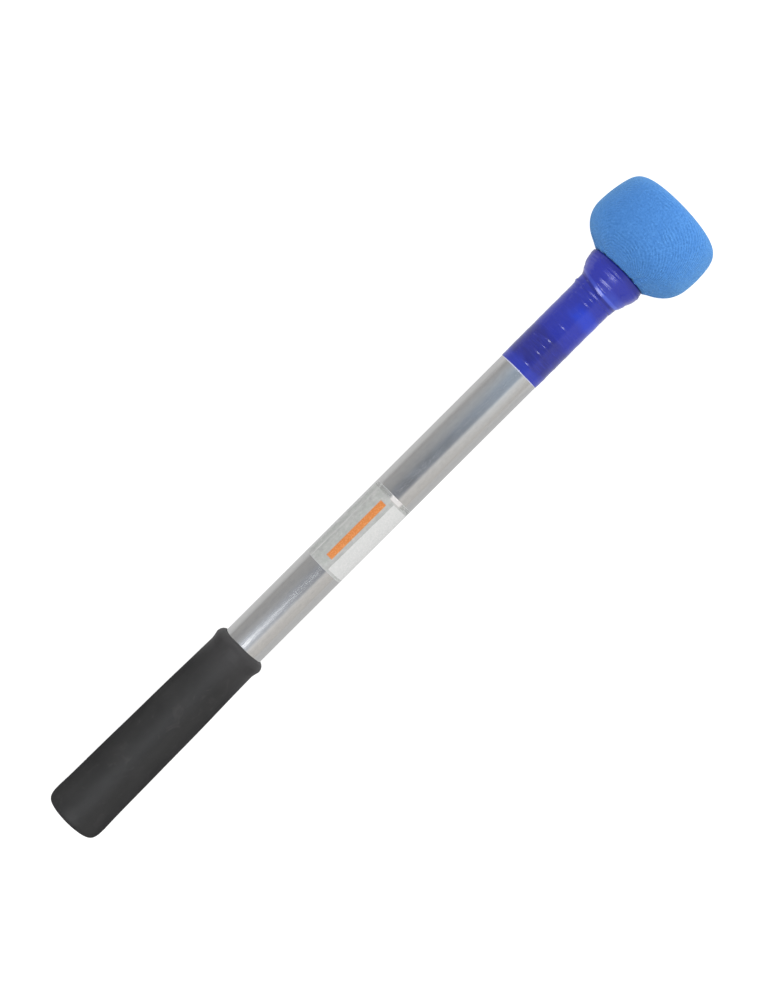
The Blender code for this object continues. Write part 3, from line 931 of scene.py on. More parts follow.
def make_collar(material):
    outside = through(COLLAR_POINTS[::-1], 0.11)
    inside = through(COLLAR_INSIDE, 0.6)
    outside[:, 0] = np.where(
        outside[:, 0] < 303.05, outside[:, 0] - 0.08, outside[:, 0]
    )
    line = chain(outside, inside)
    outer_rows = len(outside)

    def shape(x, r, angle, run):
        skin = np.zeros_like(x)
        skin[:outer_rows] = 1.0
        skin[0], skin[outer_rows - 1] = 0.3, 0.5
        turn = side_of(angle)
        left, right = np.maximum(-np.sin(turn), 0), np.maximum(np.sin(turn), 0)
        # The slanting edge where the last turns start, with a groove before it
        slant = crease_at(turn)
        step = 0.13 + 0.03 * np.cos(turn - 0.5) + 0.10 * right**2
        up = step * rise(x, slant - 0.60, slant + 0.50)
        gone = rise(x, slant + 0.50, slant + 1.4) * (0.45 + 0.55 * np.cos(turn) ** 2)
        up = up * (1 - np.maximum(gone, rise(x, slant + 0.50, slant + 3.4)))
        up = up - 0.10 * bell(x, slant - 0.95, 0.40)
        # Turns' edges over the lashing, with a dip before the third
        for at, height, flank, fall, lean, centre, width in (
            (303.4, 0.12, 0.80, 0.9, -0.05, 0.10, 0.8),
            (312.2, -0.05, 0.90, 0.7, 0.0, 0.12, 1.0),
            (313.95, 0.15, 0.75, 0.9, -0.20, 0.0, 1.3),
            (315.45, 0.13, 0.60, 0.8, -0.20, -0.05, 0.7),
        ):
            place = at + lean * np.sin(turn + 0.1) + 0.07 * np.sin(4 * turn + at)
            tall = height * (0.35 + 0.65 * bell(turn, centre, width))
            up = up + tall * rise(x, place - flank / 2, place + flank / 2) * (
                1 - rise(x, place + flank / 2, place + flank / 2 + fall)
            )
        # Gathers of the cover show through as soft lumps
        lump = ring_sum(turn, ((7, 0.05, 0.5), (11, 0.04, 1.9), (17, 0.02, 2.5)))
        up = up + lump * rise(x, 308.5, 312.5)
        lumps = ring_sum(turn, ((2, 0.06, 0.6), (3, 0.05, 2.4)))
        up = up + lumps * rise(x, 310.0, 315.0)
        # The flare starts later on the left, with a nub of folded tape at its foot
        up = up - 0.42 * left * bell(x, 308.0, 2.4) + 0.24 * right * bell(x, 307.6, 3.0)
        up = up + 0.34 * bell(turn, -1.50, 0.40) * bell(x, 303.9, 0.65)
        up = up - 0.55 * right * rise(x, 315.6, 317.6)
        r = r + skin * up
        edge = skin * rise(x, 315.5, 318.3) * ring_sum(
            turn, ((2, 0.10, 0.2), (5, 0.06, 1.3), (9, 0.03, 0.8))
        )
        return x + edge, -r * np.sin(angle), r * np.cos(angle)

    return turned("collar_tape_pvc", line, material, sides=224, shape=shape, loop=True)


# ---------------------------------------------------------------- knitted cover

HEAD_R, HEAD_WIDE_AT, HEAD_REAR, HEAD_FRONT = 25.50, 336.5, 317.0, 353.95
HEAD_REAR_POWERS, HEAD_FRONT_POWERS = (3.0, 1.9), (8.1, 3.8)
HEAD_TAPER, HEAD_TAPER_POWER = 0.13, 1.75
COVER_THICK = 0.95
SKIRT_START, SKIRT_INNER_R, SKIRT_R = 309.6, 9.75, 10.50
COVER_REAR_R = 11.3
KNIT_PITCH = 1.42
KNIT_TURN = 0.25


def head_point(turn):
    power_x, power_r = HEAD_FRONT_POWERS if turn > 0 else HEAD_REAR_POWERS
    reach = 1 - (1 - abs(turn)) ** 2
    radius = HEAD_R * (1 - reach**power_x) ** (1 / power_r)
    if turn > 0:
        radius *= 1 - HEAD_TAPER * reach**HEAD_TAPER_POWER
        return HEAD_WIDE_AT + reach * (HEAD_FRONT - HEAD_WIDE_AT), radius
    return HEAD_WIDE_AT - reach * (HEAD_WIDE_AT - HEAD_REAR), radius


def askew(x, r, angle):
    """The padding sits a little to one side of the shaft, and its face leans."""
    shift = 0.70 * rise(x, 315.5, 323.0) * (1 - rise(x, 331.0, 346.0))
    face = rise(x, 338.0, 352.0)
    y, z = -r * np.sin(angle) + shift, r * np.cos(angle)
    return x + face * (0.022 * y + 0.004 * z), y, z


def head_line(inset, rear_r, step):
    """The head's outline from the striking face's middle to this radius behind it, moved inwards, with a point about every step."""
    points = []
    for turn in np.concatenate([1 - np.geomspace(0.004, 1, 260), -np.linspace(0.004, 0.9, 260)]):
        ahead, behind = head_point(min(turn + 0.001, 1)), head_point(turn - 0.001)
        run = Vector((ahead[0] - behind[0], ahead[1] - behind[1])).normalized()
        along, radius = head_point(turn)
        points.append((along + run.y * inset, radius - run.x * inset))
    kept = [(points[0][0], 0.0)]
    for point in points:
        if point[0] < HEAD_WIDE_AT and point[1] < rear_r:
            last = kept[-1]
            part = (last[1] - rear_r) / (last[1] - point[1])
            kept.append((last[0] + (point[0] - last[0]) * part, rear_r))
            break
        if point[1] > kept[-1][1] + 1e-4 or point[0] < kept[-1][0] - 1e-4:
            kept.append(point)
    kept = np.array(kept)
    run = np.concatenate([[0], np.cumsum(np.hypot(*np.diff(kept, axis=0).T))])
    at = np.linspace(0, run[-1], round(run[-1] / step) + 1)
    return np.stack([np.interp(at, run, kept[:, k]) for k in range(2)], axis=1)


def knit():
    """Sky-blue jersey. Its map holds millimetres of the flat cloth: u across the ribs, v along them."""
    f = Finish("blue_knit")
    u, v, _ = f.parts(f.uv("Cloth"))
    point = f.object_mm()
    drift = f.math("SUBTRACT", f.noise(point, 0.10, 2.0, 0.5), 0.5)
    u = f.math("ADD", u, f.math("MULTIPLY", drift, 3.4))
    wave = f.math("SUBTRACT", f.noise(point, 0.36, 2.0, 0.5), 0.5)
    u = f.math("ADD", u, f.math("MULTIPLY", wave, 1.1))
    rib = f.math("SINE", f.math("MULTIPLY", u, 2 * math.pi / KNIT_PITCH))
    half = f.math("SINE", f.math("MULTIPLY", u, 4 * math.pi / KNIT_PITCH))
    chevron = f.math("ABSOLUTE", rib)
    stitch = f.math(
        "SINE",
        f.math(
            "ADD", f.math("MULTIPLY", v, 2 * math.pi / 0.80), f.math("MULTIPLY", chevron, 2.2)
        ),
    )
    yarn = f.math("SUBTRACT", f.noise(point, 1.15, 3.0, 0.62), 0.5)
    patch = f.noise(point, 0.24, 3.0, 0.6, 0.4)
    # Where the cloth is stretched hardest, on one side of the top, the ribs fade
    x, y, z = f.parts(f.vector("SUBTRACT", point, (340.0, 14.0, 20.0)))
    spot = f.math("ADD", f.math("MULTIPLY", x, x), f.math("MULTIPLY", y, y))
    spot = f.math("SQRT", f.math("ADD", spot, f.math("MULTIPLY", z, z)))
    darker_spot = f.scaled(spot, 4.0, 19.0, 0.38, 0.0)
    spot = f.scaled(spot, 0.0, 40.0, -0.20, 0.30)
    shown = f.math("ADD", f.noise(point, 0.13, 2.0, 0.5), spot)
    shown = f.step(shown, 0.38, 0.62)
    breaks = f.scaled(f.noise(point, 0.7, 2.0, 0.5), 0.38, 0.60, 0.35, 1.0)
    shown = f.math("MULTIPLY", f.scaled(shown, 0.0, 1.0, 0.22, 1.0), breaks)
    ribs = f.math("ADD", f.math("MULTIPLY", rib, 0.80), f.math("MULTIPLY", half, 0.25))
    ribs = f.math("ADD", ribs, f.math("MULTIPLY", stitch, 0.20))
    height = f.math("ADD", f.math("MULTIPLY", ribs, shown), f.math("MULTIPLY", yarn, 4.6))
    tone = f.math("ADD", f.math("MULTIPLY", height, 0.50), 0.5)
    colour = f.ramp(
        tone,
        (
            (0.0, (0.058, 0.205, 0.540)),
            (0.5, (0.085, 0.272, 0.680)),
            (1.0, (0.117, 0.354, 0.820)),
        ),
    )
    colour = f.mix(
        f.scaled(patch, 0.36, 0.68, 0.0, 0.45), colour, (0.070, 0.243, 0.655)
    )
    # A little darker there too
    colour = f.mix(darker_spot, colour, (0.066, 0.235, 0.640))
    f.set("Base Color", colour)
    f.set("Roughness", f.scaled(height, -0.6, 0.6, 0.94, 0.82))
    f.set("Specular IOR Level", 0.12)
    f.set("Sheen Weight", 0.42)
    f.set("Sheen Roughness", 0.38)
    f.set("Sheen Tint", (0.46, 0.86, 1.0))
    f.bump(height, 0.10, 0.9)
    return f.material


def make_cover(material):
    outer = head_line(0.0, COVER_REAR_R, 0.45)
    inner = head_line(COVER_THICK, COVER_REAR_R - 0.6, 1.2)
    back = outer[-1, 0]
    skirt = through(
        [(back, COVER_REAR_R), (back - 0.75, SKIRT_R + 0.1), (back - 2.0, SKIRT_R)], 0.4
    )
    line = chain(
        outer,
        skirt,
        straight((back - 2.0, SKIRT_R), (SKIRT_START, SKIRT_R), 0.5),
        straight((SKIRT_START, SKIRT_INNER_R), (inner[-1, 0], SKIRT_INNER_R), 0.8),
        inner[::-1],
    )
    outer_rows = len(outer)

    def shape(x, r, angle, run):
        turn = side_of(angle)
        on_skin = np.zeros_like(x)
        on_skin[: outer_rows + 6] = 1.0
        # Gathers that run out from the neck, where the cover presses on the collar
        behind = (1 - rise(x, 318.8, 325.0)) * (1 - rise(r, 13.0, 21.0))
        pleats = ring_sum(
            turn, ((19, 0.045, 0.4), (27, 0.035, 1.8), (13, 0.040, 2.7), (37, 0.015, 0.9))
        )
        pleats += 0.22 * bell(turn, -0.93, 0.09) - 0.16 * bell(turn, 0.75, 0.10)
        pleats += 0.12 * bell(turn, -0.62, 0.07) - 0.10 * bell(turn, -0.78, 0.06)
        pressed = 0.42 * bell(r, 13.3, 1.5) * (1 - rise(x, 320.5, 323.0))
        # One deeper fold on the side that faces -Y
        fold = 0.30 * bell(turn, 0.66, 0.10) - 0.42 * bell(turn, 0.50, 0.07)
        fold *= (1 - rise(x, 320.5, 327.0)) * (1 - rise(r, 18.0, 24.5))
        x = x - on_skin * (behind * pleats + pressed + fold)
        # The felt under it isn't perfectly even
        soft = ring_sum(turn, ((2, 0.10, 0.8), (3, 0.06, 2.1), (5, 0.04, 0.2)))
        soft = soft * rise(r, 8.0, 20.0) * rise(x, 319.5, 327.0)
        soft = soft + 0.06 * np.sin(x * 0.45 + 2.0 * np.sin(turn))
        r = r + on_skin * soft * rise(r, 6.0, 14.0)
        x, y, z = askew(x, r, angle)
        # At the back it closes on the tube and stays outside it
        away = np.maximum(np.hypot(y, z), 1e-6)
        clear = np.where(x < 325.0, np.maximum(away, TUBE_R + 0.06), away) / away
        return x, y * clear, z * clear

    def cloth(x, r, angle, run):
        """Where each point was on the flat cloth, which is stretched over the face and drawn back to the neck."""
        turn = side_of(angle + KNIT_TURN)
        turn = turn - 0.08 * np.sin(2 * turn)
        return run * np.cos(turn), run * np.sin(turn)

    cover = turned(
        "head_cover_knit",
        line,
        material,
        sides=256,
        shape=shape,
        maps={"Cloth": cloth},
    )
    return cover


# ---------------------------------------------------------------- inner pieces


def wood(name, dark, light):
    f = Finish(name)
    point = f.object_mm()
    grain = f.noise(f.vector("MULTIPLY", point, (0.05, 1.0, 1.0)), 0.7, 4.0, 0.6, 1.2)
    pores = f.noise(f.vector("MULTIPLY", point, (0.10, 1.0, 1.0)), 5.0, 2.0, 0.6)
    tone = f.math("ADD", f.math("MULTIPLY", grain, 0.7), f.math("MULTIPLY", pores, 0.3))
    f.set("Base Color", f.ramp(tone, ((0.32, dark), (0.68, light))))
    f.set("Roughness", f.scaled(pores, 0.3, 0.7, 0.5, 0.68))
    f.bump(pores, 0.05)
    return f.material


def steel(name, colour, rough):
    f = Finish(name, Metallic=1.0)
    point = f.object_mm()
    marks = f.noise(f.vector("MULTIPLY", point, (4.0, 0.6, 0.6)), 2.0, 3.0, 0.6)
    dark = tuple(c * 0.82 for c in colour)
    f.set("Base Color", f.ramp(marks, ((0.3, dark), (0.7, colour))))
    f.set("Roughness", f.scaled(marks, 0.3, 0.7, rough, rough + 0.12))
    f.bump(marks, 0.01)
    return f.material


def felt(name, dark, light):
    f = Finish(name)
    point = f.object_mm()
    fibre = f.noise(point, 3.2, 5.0, 0.7, 1.5)
    lump = f.noise(point, 0.35, 2.0, 0.5)
    tone = f.math("ADD", f.math("MULTIPLY", fibre, 0.6), f.math("MULTIPLY", lump, 0.4))
    f.set("Base Color", f.ramp(tone, ((0.3, dark), (0.7, light))))
    f.set("Roughness", 0.96)
    f.set("Sheen Weight", 0.4)
    f.set("Sheen Roughness", 0.5)
    f.bump(fibre, 0.25)
    return f.material


def foam():
    f = Finish("thin_foam")
    point = f.object_mm()
    bubbles = f.cells(point, 2.2)
    f.set(
        "Base Color",
        f.ramp(bubbles, ((0.0, (0.52, 0.50, 0.36)), (0.6, (0.80, 0.77, 0.58)))),
    )
    f.set("Roughness", 0.92)
    f.bump(bubbles, 0.18)
    return f.material


def twine():
    f = Finish("cotton_twine")
    point = f.object_mm()
    strand = f.noise(f.vector("MULTIPLY", point, (3.0, 1.0, 1.0)), 2.4, 3.0, 0.6, 0.8)
    f.set(
        "Base Color",
        f.ramp(strand, ((0.3, (0.50, 0.45, 0.34)), (0.7, (0.78, 0.73, 0.62)))),
    )
    f.set("Roughness", 0.93)
    f.bump(strand, 0.12)
    return f.material


def inside_askew(low, high):
    """Padding sits askew like the cover over it, but not where it's on the core or the tube, below these radii."""

    def shape(x, r, angle, run):
        part = rise(r, low, high)
        straight_y = -r * np.sin(angle)
        leaning, y, z = askew(x, r, angle)
        return leaning, straight_y + part * (y - straight_y), z

    return shape


def between_radii(line, low, high):
    """The part of a line of (distance, radius) whose distances lie between these."""
    line = np.array(line)
    line = line[np.argsort(line[:, 0])]
    inside = line[(line[:, 0] > low) & (line[:, 0] < high)]
    ends = [(at, np.interp(at, line[:, 0], line[:, 1])) for at in (low, high)]
    return np.concatenate([[ends[0]], inside, [ends[1]]])


def rounded(corners, radius, step):
    """A closed line through these corners, each one rounded."""
    corners = np.array(corners, float)
    points = []
    for i, corner in enumerate(corners):
        before, after = corners[i - 1] - corner, corners[(i + 1) % len(corners)] - corner
        near, far = np.linalg.norm(before), np.linalg.norm(after)
        size = min(radius, near / 2.2, far / 2.2)
        start, end = corner + before / near * size, corner + after / far * size
        for u in np.linspace(0, 1, 7):
            points.append((1 - u) ** 2 * start + 2 * u * (1 - u) * corner + u * u * end)
        length = np.linalg.norm(corners[(i + 1) % len(corners)] - end)
        count = max(1, int(length / step))
        follow = corners[(i + 1) % len(corners)] - end
        points += [end + follow * k / count * 0.8 for k in range(1, count)]
    return np.array(points)


FELT_IN, FELT_SPLIT_R = 2.95, 18.0
WINDING_START, CORE_END, CORE_R = 325.4, 344.5, 15.0
FRONT_PAD_START = 344.8


def make_foam(material):
    out, inside = head_line(1.10, 13.0, 0.8), head_line(2.80, 13.0, 0.8)
    return turned(
        "foam_jacket_foam", chain(out, inside[::-1]), material, 128, inside_askew(0.1, 0.5)
    )


def make_outer_winding(material):
    side = head_line(FELT_IN, 13.0, 0.5)[2:]
    side = side[side[:, 1] > FELT_SPLIT_R + 0.5]
    side = between_radii(side, WINDING_START + 0.6, CORE_END)
    # The strip's turns show as shallow steps
    steps = 0.10 * np.abs(np.sin((side[:, 0] - WINDING_START) * np.pi / 4.8))
    side = np.stack([side[:, 0], side[:, 1] - steps], axis=1)
    inner = FELT_SPLIT_R + 0.15
    line = chain(
        straight((side[0, 0], inner), side[0], 0.5),
        side,
        straight(side[-1], (side[-1, 0], inner), 0.5),
        straight((side[-1, 0], inner), (side[0, 0], inner), 1.5),
    )
    return turned(
        "felt_winding_outer_felt", line[:-1], material, 144, inside_askew(15.15, 18.0), True
    )


def make_inner_winding(material):
    line = rounded(
        [
            (CORE_END, FELT_SPLIT_R),
            (WINDING_START, FELT_SPLIT_R),
            (WINDING_START, CORE_R + 0.15),
            (CORE_END, CORE_R + 0.15),
        ],
        0.5,
        1.2,
    )
    return turned(
        "felt_winding_inner_felt", line, material, 144, inside_askew(15.2, 17.9), True
    )


def make_front_pad(material):
    side = head_line(FELT_IN, 13.0, 0.5)
    side = side[side[:, 0] > FRONT_PAD_START]
    radius = side[-1, 1]
    line = chain(
        side,
        [(FRONT_PAD_START + 0.1, radius), (FRONT_PAD_START, radius - 0.25)],
        straight((FRONT_PAD_START, radius - 0.25), (FRONT_PAD_START, 0.0), 1.0),
    )
    return turned("felt_front_pad_felt", line, material, 144, inside_askew(0.1, 0.5))


def make_rear_ring(material):
    line = rounded([(323.8, 15.1), (322.4, 13.2), (322.4, 9.75), (323.8, 9.75)], 0.3, 0.8)
    return turned("felt_rear_ring_felt", line, material, 128, inside_askew(9.8, 13.0), True)


def make_lashing(material):
    """Three turns of three-strand twine, one beside the other."""
    radius, start, pitch, turns, size = 11.35, 312.9, 1.35, 3, 0.6
    rings, sides = 432, 18
    points, faces, bake = [], [], []
    for i in range(rings + 1):
        part = i / rings
        turn = part * turns * 2 * math.pi
        middle = Vector(
            (start + pitch * part * turns, radius * math.sin(turn), -radius * math.cos(turn))
        )
        out = Vector((0.0, math.sin(turn), -math.cos(turn)))
        side = Vector((1.0, 0.0, 0.0))
        twist = part * turns * 2 * math.pi * radius / 3.4 * 2 * math.pi
        for k in range(sides):
            a = 2 * math.pi * k / sides
            lobe = size * (0.80 + 0.20 * abs(math.cos(1.5 * (a - twist))))
            points.append(middle + lobe * (math.cos(a) * out + math.sin(a) * side))
    for i in range(rings):
        for k in range(sides):
            a, b = i * sides + k, i * sides + (k + 1) % sides
            faces.append([a, b, b + sides, a + sides])
            u0, u1 = 0.02 + 0.96 * i / rings, 0.02 + 0.96 * (i + 1) / rings
            v0, v1 = 0.02 + 0.90 * k / sides, 0.02 + 0.90 * (k + 1) / sides
            bake += [(u0, v0), (u0, v1), (u1, v1), (u1, v0)]
    for ring, left in ((0, 0.05), (rings, 0.15)):
        row = [ring * sides + k for k in range(sides)]
        order = range(sides - 1, -1, -1) if ring == 0 else range(sides)
        faces.append([row[k] for k in order])
        for k in order:
            a = 2 * math.pi * k / sides
            bake.append((left + 0.02 * math.cos(a), 0.96 + 0.02 * math.sin(a)))
    volume = 0.0
    for face in faces:
        a, b, c = (points[face[k]] for k in (0, 1, 2))
        volume += a.dot(b.cross(c))
        if len(face) == 4:
            volume += a.dot(c.cross(points[face[3]]))
    if volume < 0:
        corners = iter(bake)
        bake = [pair for face in faces for pair in [next(corners) for _ in face][::-1]]
        faces = [face[::-1] for face in faces]
    return mesh_object(
        "cover_lashing_twine", [tuple(p) for p in points], faces, {"OFBake": bake}, material
    )


DOWEL_START, DOWEL_END, DOWEL_R = 305.0, 335.0, 7.85
PILOT_END, PILOT_R = 316.5, 2.35
CORE_START, CORE_BORE_END, CORE_BORE_R = 324.0, 335.4, 9.65
CORE_RECESS_AT, CORE_RECESS_R = 341.0, 8.2
SCREW_TIP, SCREW_HEAD_AT, SCREW_HEAD_END = 318.0, 342.3, 344.3
THREAD_ROOT_R, THREAD_PITCH = 1.62, 1.8


def make_dowel(material):
    line = chain(
        straight((PILOT_END, 0.0), (PILOT_END, PILOT_R), 0.6),
        straight((PILOT_END, PILOT_R), (DOWEL_END, PILOT_R), 0.8),
        straight((DOWEL_END, PILOT_R), (DOWEL_END, DOWEL_R - 0.3), 0.8),
        straight((DOWEL_END - 0.3, DOWEL_R), (DOWEL_START + 1.0, DOWEL_R), 0.8),
        straight((DOWEL_START + 1.0, DOWEL_R), (DOWEL_START, DOWEL_R - 1.0), 0.4),
        straight((DOWEL_START, DOWEL_R - 1.0), (DOWEL_START, 0.0), 0.8),
    )
    run = np.concatenate([[0], np.cumsum(np.hypot(*np.diff(line, axis=0).T))])
    outside = line[:, 1] > DOWEL_R - 0.01
    at = np.interp(-PIN_AT, -line[outside, 0], run[outside])
    return drilled(turned("shaft_dowel_wood", line, material, sides=96), at / run[-1])


def make_pin(material):
    end, radius = 9.35, 1.5
    line = chain(
        straight((end, 0.0), (end, radius - 0.25), 0.3),
        straight((end - 0.25, radius), (0.25 - end, radius), 0.6),
        straight((-end, radius - 0.25), (-end, 0.0), 0.3),
    )

    def across(x, r, angle, run):
        return PIN_AT + r * np.cos(angle), x, r * np.sin(angle)

    return turned("dowel_pin_steel", line, material, sides=48, shape=across)


def make_core(material):
    edge = CORE_R - 0.8
    line = chain(
        straight((CORE_RECESS_AT, PILOT_R), (CORE_RECESS_AT, CORE_RECESS_R), 0.8),
        straight((CORE_RECESS_AT, CORE_RECESS_R), (CORE_END, CORE_RECESS_R), 0.8),
        straight((CORE_END, CORE_RECESS_R), (CORE_END, edge), 1.0),
        through(
            [(CORE_END, edge), (CORE_END - 0.23, CORE_R - 0.23), (CORE_END - 0.8, CORE_R)], 0.2
        ),
        straight((CORE_END - 0.8, CORE_R), (CORE_START + 0.8, CORE_R), 0.25),
        through(
            [
                (CORE_START + 0.8, CORE_R),
                (CORE_START + 0.23, CORE_R - 0.23),
                (CORE_START, edge),
            ],
            0.2,
        ),
        straight((CORE_START, edge), (CORE_START, CORE_BORE_R), 1.0),
        straight((CORE_START, CORE_BORE_R), (CORE_BORE_END, CORE_BORE_R), 0.8),
        straight((CORE_BORE_END, CORE_BORE_R), (CORE_BORE_END, PILOT_R), 0.8),
        straight((CORE_BORE_END, PILOT_R), (CORE_RECESS_AT, PILOT_R), 0.8),
    )

    def shape(x, r, angle, run):
        # Marks of the turning tool
        r = r - 0.03 * (r > CORE_R - 0.01) * (0.5 + 0.5 * np.sin(x * 5.0)) ** 2
        return x, -r * np.sin(angle), r * np.cos(angle)

    return turned("head_core_wood", line[:-1], material, 128, shape, True)


def make_washer(material):
    line = rounded([(342.25, 7.5), (341.05, 7.5), (341.05, 2.5), (342.25, 2.5)], 0.25, 0.6)
    return turned("core_washer_steel", line, material, sides=96, loop=True)


def make_screw(material):
    """A wood screw with a raised head, a cross recess and a thread up to its plain neck."""
    neck, head = 2.1, 4.2
    line = chain(
        straight((SCREW_HEAD_END, 0.0), (SCREW_HEAD_END, 2.3), 0.3),
        through(
            [
                (SCREW_HEAD_END, 2.3),
                (SCREW_HEAD_END - 0.25, 3.3),
                (SCREW_HEAD_END - 0.8, 3.95),
                (SCREW_HEAD_AT + 0.45, head),
            ],
            0.12,
        ),
        straight((SCREW_HEAD_AT + 0.45, head), (SCREW_HEAD_AT, head - 0.05), 0.2),
        straight((SCREW_HEAD_AT, head - 0.05), (SCREW_HEAD_AT, neck), 0.4),
        straight((SCREW_HEAD_AT, neck), (335.0, neck), 0.4),
        straight((334.6, THREAD_ROOT_R), (SCREW_TIP + 3.5, THREAD_ROOT_R), 0.09),
        straight((SCREW_TIP + 3.5, THREAD_ROOT_R), (SCREW_TIP, 0.0), 0.09),
    )

    def shape(x, r, angle, run):
        phase = (x / THREAD_PITCH + angle / (2 * np.pi)) % 1
        crest = np.clip(1.25 - np.abs(phase - 0.5) / 0.26, 0, 1)
        depth = 0.56 * rise(x, SCREW_TIP + 0.2, SCREW_TIP + 4.0) * (1 - rise(x, 333.4, 334.5))
        r = r + depth * crest * (x < 334.6)
        return x, -r * np.sin(angle), r * np.cos(angle)

    screw = turned("core_screw_steel", line, material, sides=64, shape=shape)
    # A cross that narrows towards its bottom
    points, faces, corners = [], [], []
    for x, arm, half in ((SCREW_HEAD_END + 0.4, 2.05, 0.42), (SCREW_HEAD_END - 1.3, 0.75, 0.22)):
        for k in range(4):
            y, z = round(math.cos(math.pi * k / 2)), round(math.sin(math.pi * k / 2))
            for out, aside in ((arm, -half), (arm, half), (half, half)):
                points.append((x, out * y - aside * z, out * z + aside * y))
    for k in range(12):
        n = (k + 1) % 12
        faces.append([k, k + 12, n + 12, n])
    faces += [list(range(12)), list(range(23, 11, -1))]
    for face in faces:
        for k in face:
            turn = 2 * math.pi * (k % 12) / 12
            corners.append((0.5 + 0.02 * math.cos(turn), 0.004 + 0.001 * math.sin(turn)))
    cross = mesh_object("cross", points, faces, {"OFBake": corners}, material)
    cut_out(screw, cross)
    return screw


# ---------------------------------------------------------------- world, light, floor


def make_world():
    """A plain white room, brighter overhead. What glossy surfaces mirror is a studio's: dim behind the camera, a bright wall on the side that faces -Y, soft strip lights a little towards the butt, and a window beyond the head."""
    world = bpy.data.worlds.new("studio")
    bpy.context.scene.world = world
    w = Tree(world)
    out = w.add("ShaderNodeOutputWorld")
    plain = w.add("ShaderNodeBackground")
    room = w.add("ShaderNodeBackground")
    x, y, z = w.parts(w.add("ShaderNodeTexCoord").outputs["Generated"])
    w.feed(plain.inputs[0], (1.0, 1.0, 1.0))
    w.feed(plain.inputs[1], w.scaled(z, 0.0, 1.0, 0.84, 1.01))
    degrees = 180 / math.pi
    side = w.math("MULTIPLY", w.math("ARCTAN2", w.math("MULTIPLY", y, -1.0), z), degrees)
    tilt = w.math("MULTIPLY", w.math("ARCTAN2", x, z), degrees)
    cool, warm = (0.965, 0.985, 1.06), (1.03, 1.0, 0.955)

    def grey(level, tint=(1.0, 1.0, 1.0)):
        return tuple(level * t for t in tint)

    def bell_shape(centre, width):
        off = w.math("DIVIDE", w.math("SUBTRACT", side, centre), width)
        return w.math("EXPONENT", w.math("MULTIPLY", w.math("MULTIPLY", off, off), -1.0))

    def along_tilt(stops, low, high):
        return w.ramp(
            w.scaled(tilt, low, high, 0.0, 1.0),
            [((at - low) / (high - low), level) for at, level in stops],
        )

    walls = w.ramp(
        w.scaled(side, -90.0, 90.0, 0.0, 1.0),
        [
            ((at + 90) / 180, colour)
            for at, colour in (
                (-90, grey(0.55, (1.01, 1.0, 0.985))),
                (-78, grey(0.53, (1.01, 1.0, 0.985))),
                (-62, grey(0.515)),
                (-50, grey(0.49)),
                (-38, grey(0.44)),
                (-28, grey(0.385)),
                (-18, grey(0.32, cool)),
                (-6, grey(0.262, cool)),
                (8, grey(0.255, cool)),
                (18, grey(0.295, cool)),
                (24, grey(0.38, cool)),
                (29, grey(0.60)),
                (35, grey(0.79, warm)),
                (48, grey(0.83, warm)),
                (70, grey(0.80, warm)),
                (90, grey(0.76, warm)),
            )
        ],
    )
    # Brighter overhead towards the butt, and beyond the tape's start
    butt_side = along_tilt(
        (
            (-16, 1.08),
            (-10.2, 1.32),
            (-9.3, 0.96),
            (-8.9, 0.62),
            (-8.2, 0.17),
            (-7.6, 0.10),
            (-7.0, 0.04),
            (-6.0, 0.02),
            (-4.0, 0.0),
        ),
        -16.0,
        -4.0,
    )
    head_side = along_tilt(
        (
            (-3.0, 0.0),
            (-1.8, 0.05),
            (-1.0, 0.14),
            (-0.4, 0.27),
            (0.0, 0.50),
            (0.4, 0.78),
            (1.1, 0.60),
            (3.0, 0.12),
        ),
        -3.0,
        3.0,
    )
    strip = w.math(
        "MULTIPLY", w.within(tilt, -23.0, -13.4, 1.2), w.within(side, -6.0, 9.0, 5.0)
    )
    second = w.math(
        "MULTIPLY", w.within(tilt, -39.0, -30.0, 6.0), w.within(side, -33.0, 25.0, 14.0)
    )
    window = w.math(
        "MULTIPLY", w.within(tilt, 48.0, 70.0, 12.0), w.within(side, -80.0, 50.0, 30.0)
    )
    lights = w.math("MULTIPLY", strip, 8.5)
    lights = w.math("ADD", lights, w.math("MULTIPLY", second, 8.5))
    lights = w.math("ADD", lights, w.math("MULTIPLY", window, 3.6))
    near_butt = w.math("MULTIPLY", butt_side, bell_shape(1.5, 27.0))
    near_head = w.math("MULTIPLY", head_side, bell_shape(0.0, 58.0))
    mirrored = w.mix(1.0, walls, w.vector("MULTIPLY", near_butt, (0.93, 0.99, 1.07)), "ADD")
    mirrored = w.mix(1.0, mirrored, w.vector("MULTIPLY", near_head, (0.72, 0.98, 1.26)), "ADD")
    mirrored = w.mix(1.0, mirrored, w.joined(lights, lights, lights), "ADD")
    w.feed(room.inputs[0], mirrored)
    w.feed(room.inputs[1], 1.0)
    path = w.add("ShaderNodeLightPath")
    both = w.add("ShaderNodeMixShader")
    w.feed(both.inputs[0], path.outputs["Is Glossy Ray"])
    w.feed(both.inputs[1], plain.outputs[0])
    w.feed(both.inputs[2], room.outputs[0])
    w.feed(out.inputs[0], both.outputs[0])


def make_lamp(name, at, look_at, size, power):
    data = bpy.data.lights.new(name, "AREA")
    data.shape = "DISK"
    data.size = size
    data.energy = power
    lamp = bpy.data.objects.new(name, data)
    bpy.context.scene.collection.objects.link(lamp)
    lamp.location = at
    aim = Vector(look_at) - Vector(at)
    lamp.rotation_euler = aim.to_track_quat("-Z", "Y").to_euler()
    lamp.visible_glossy = False
    return lamp


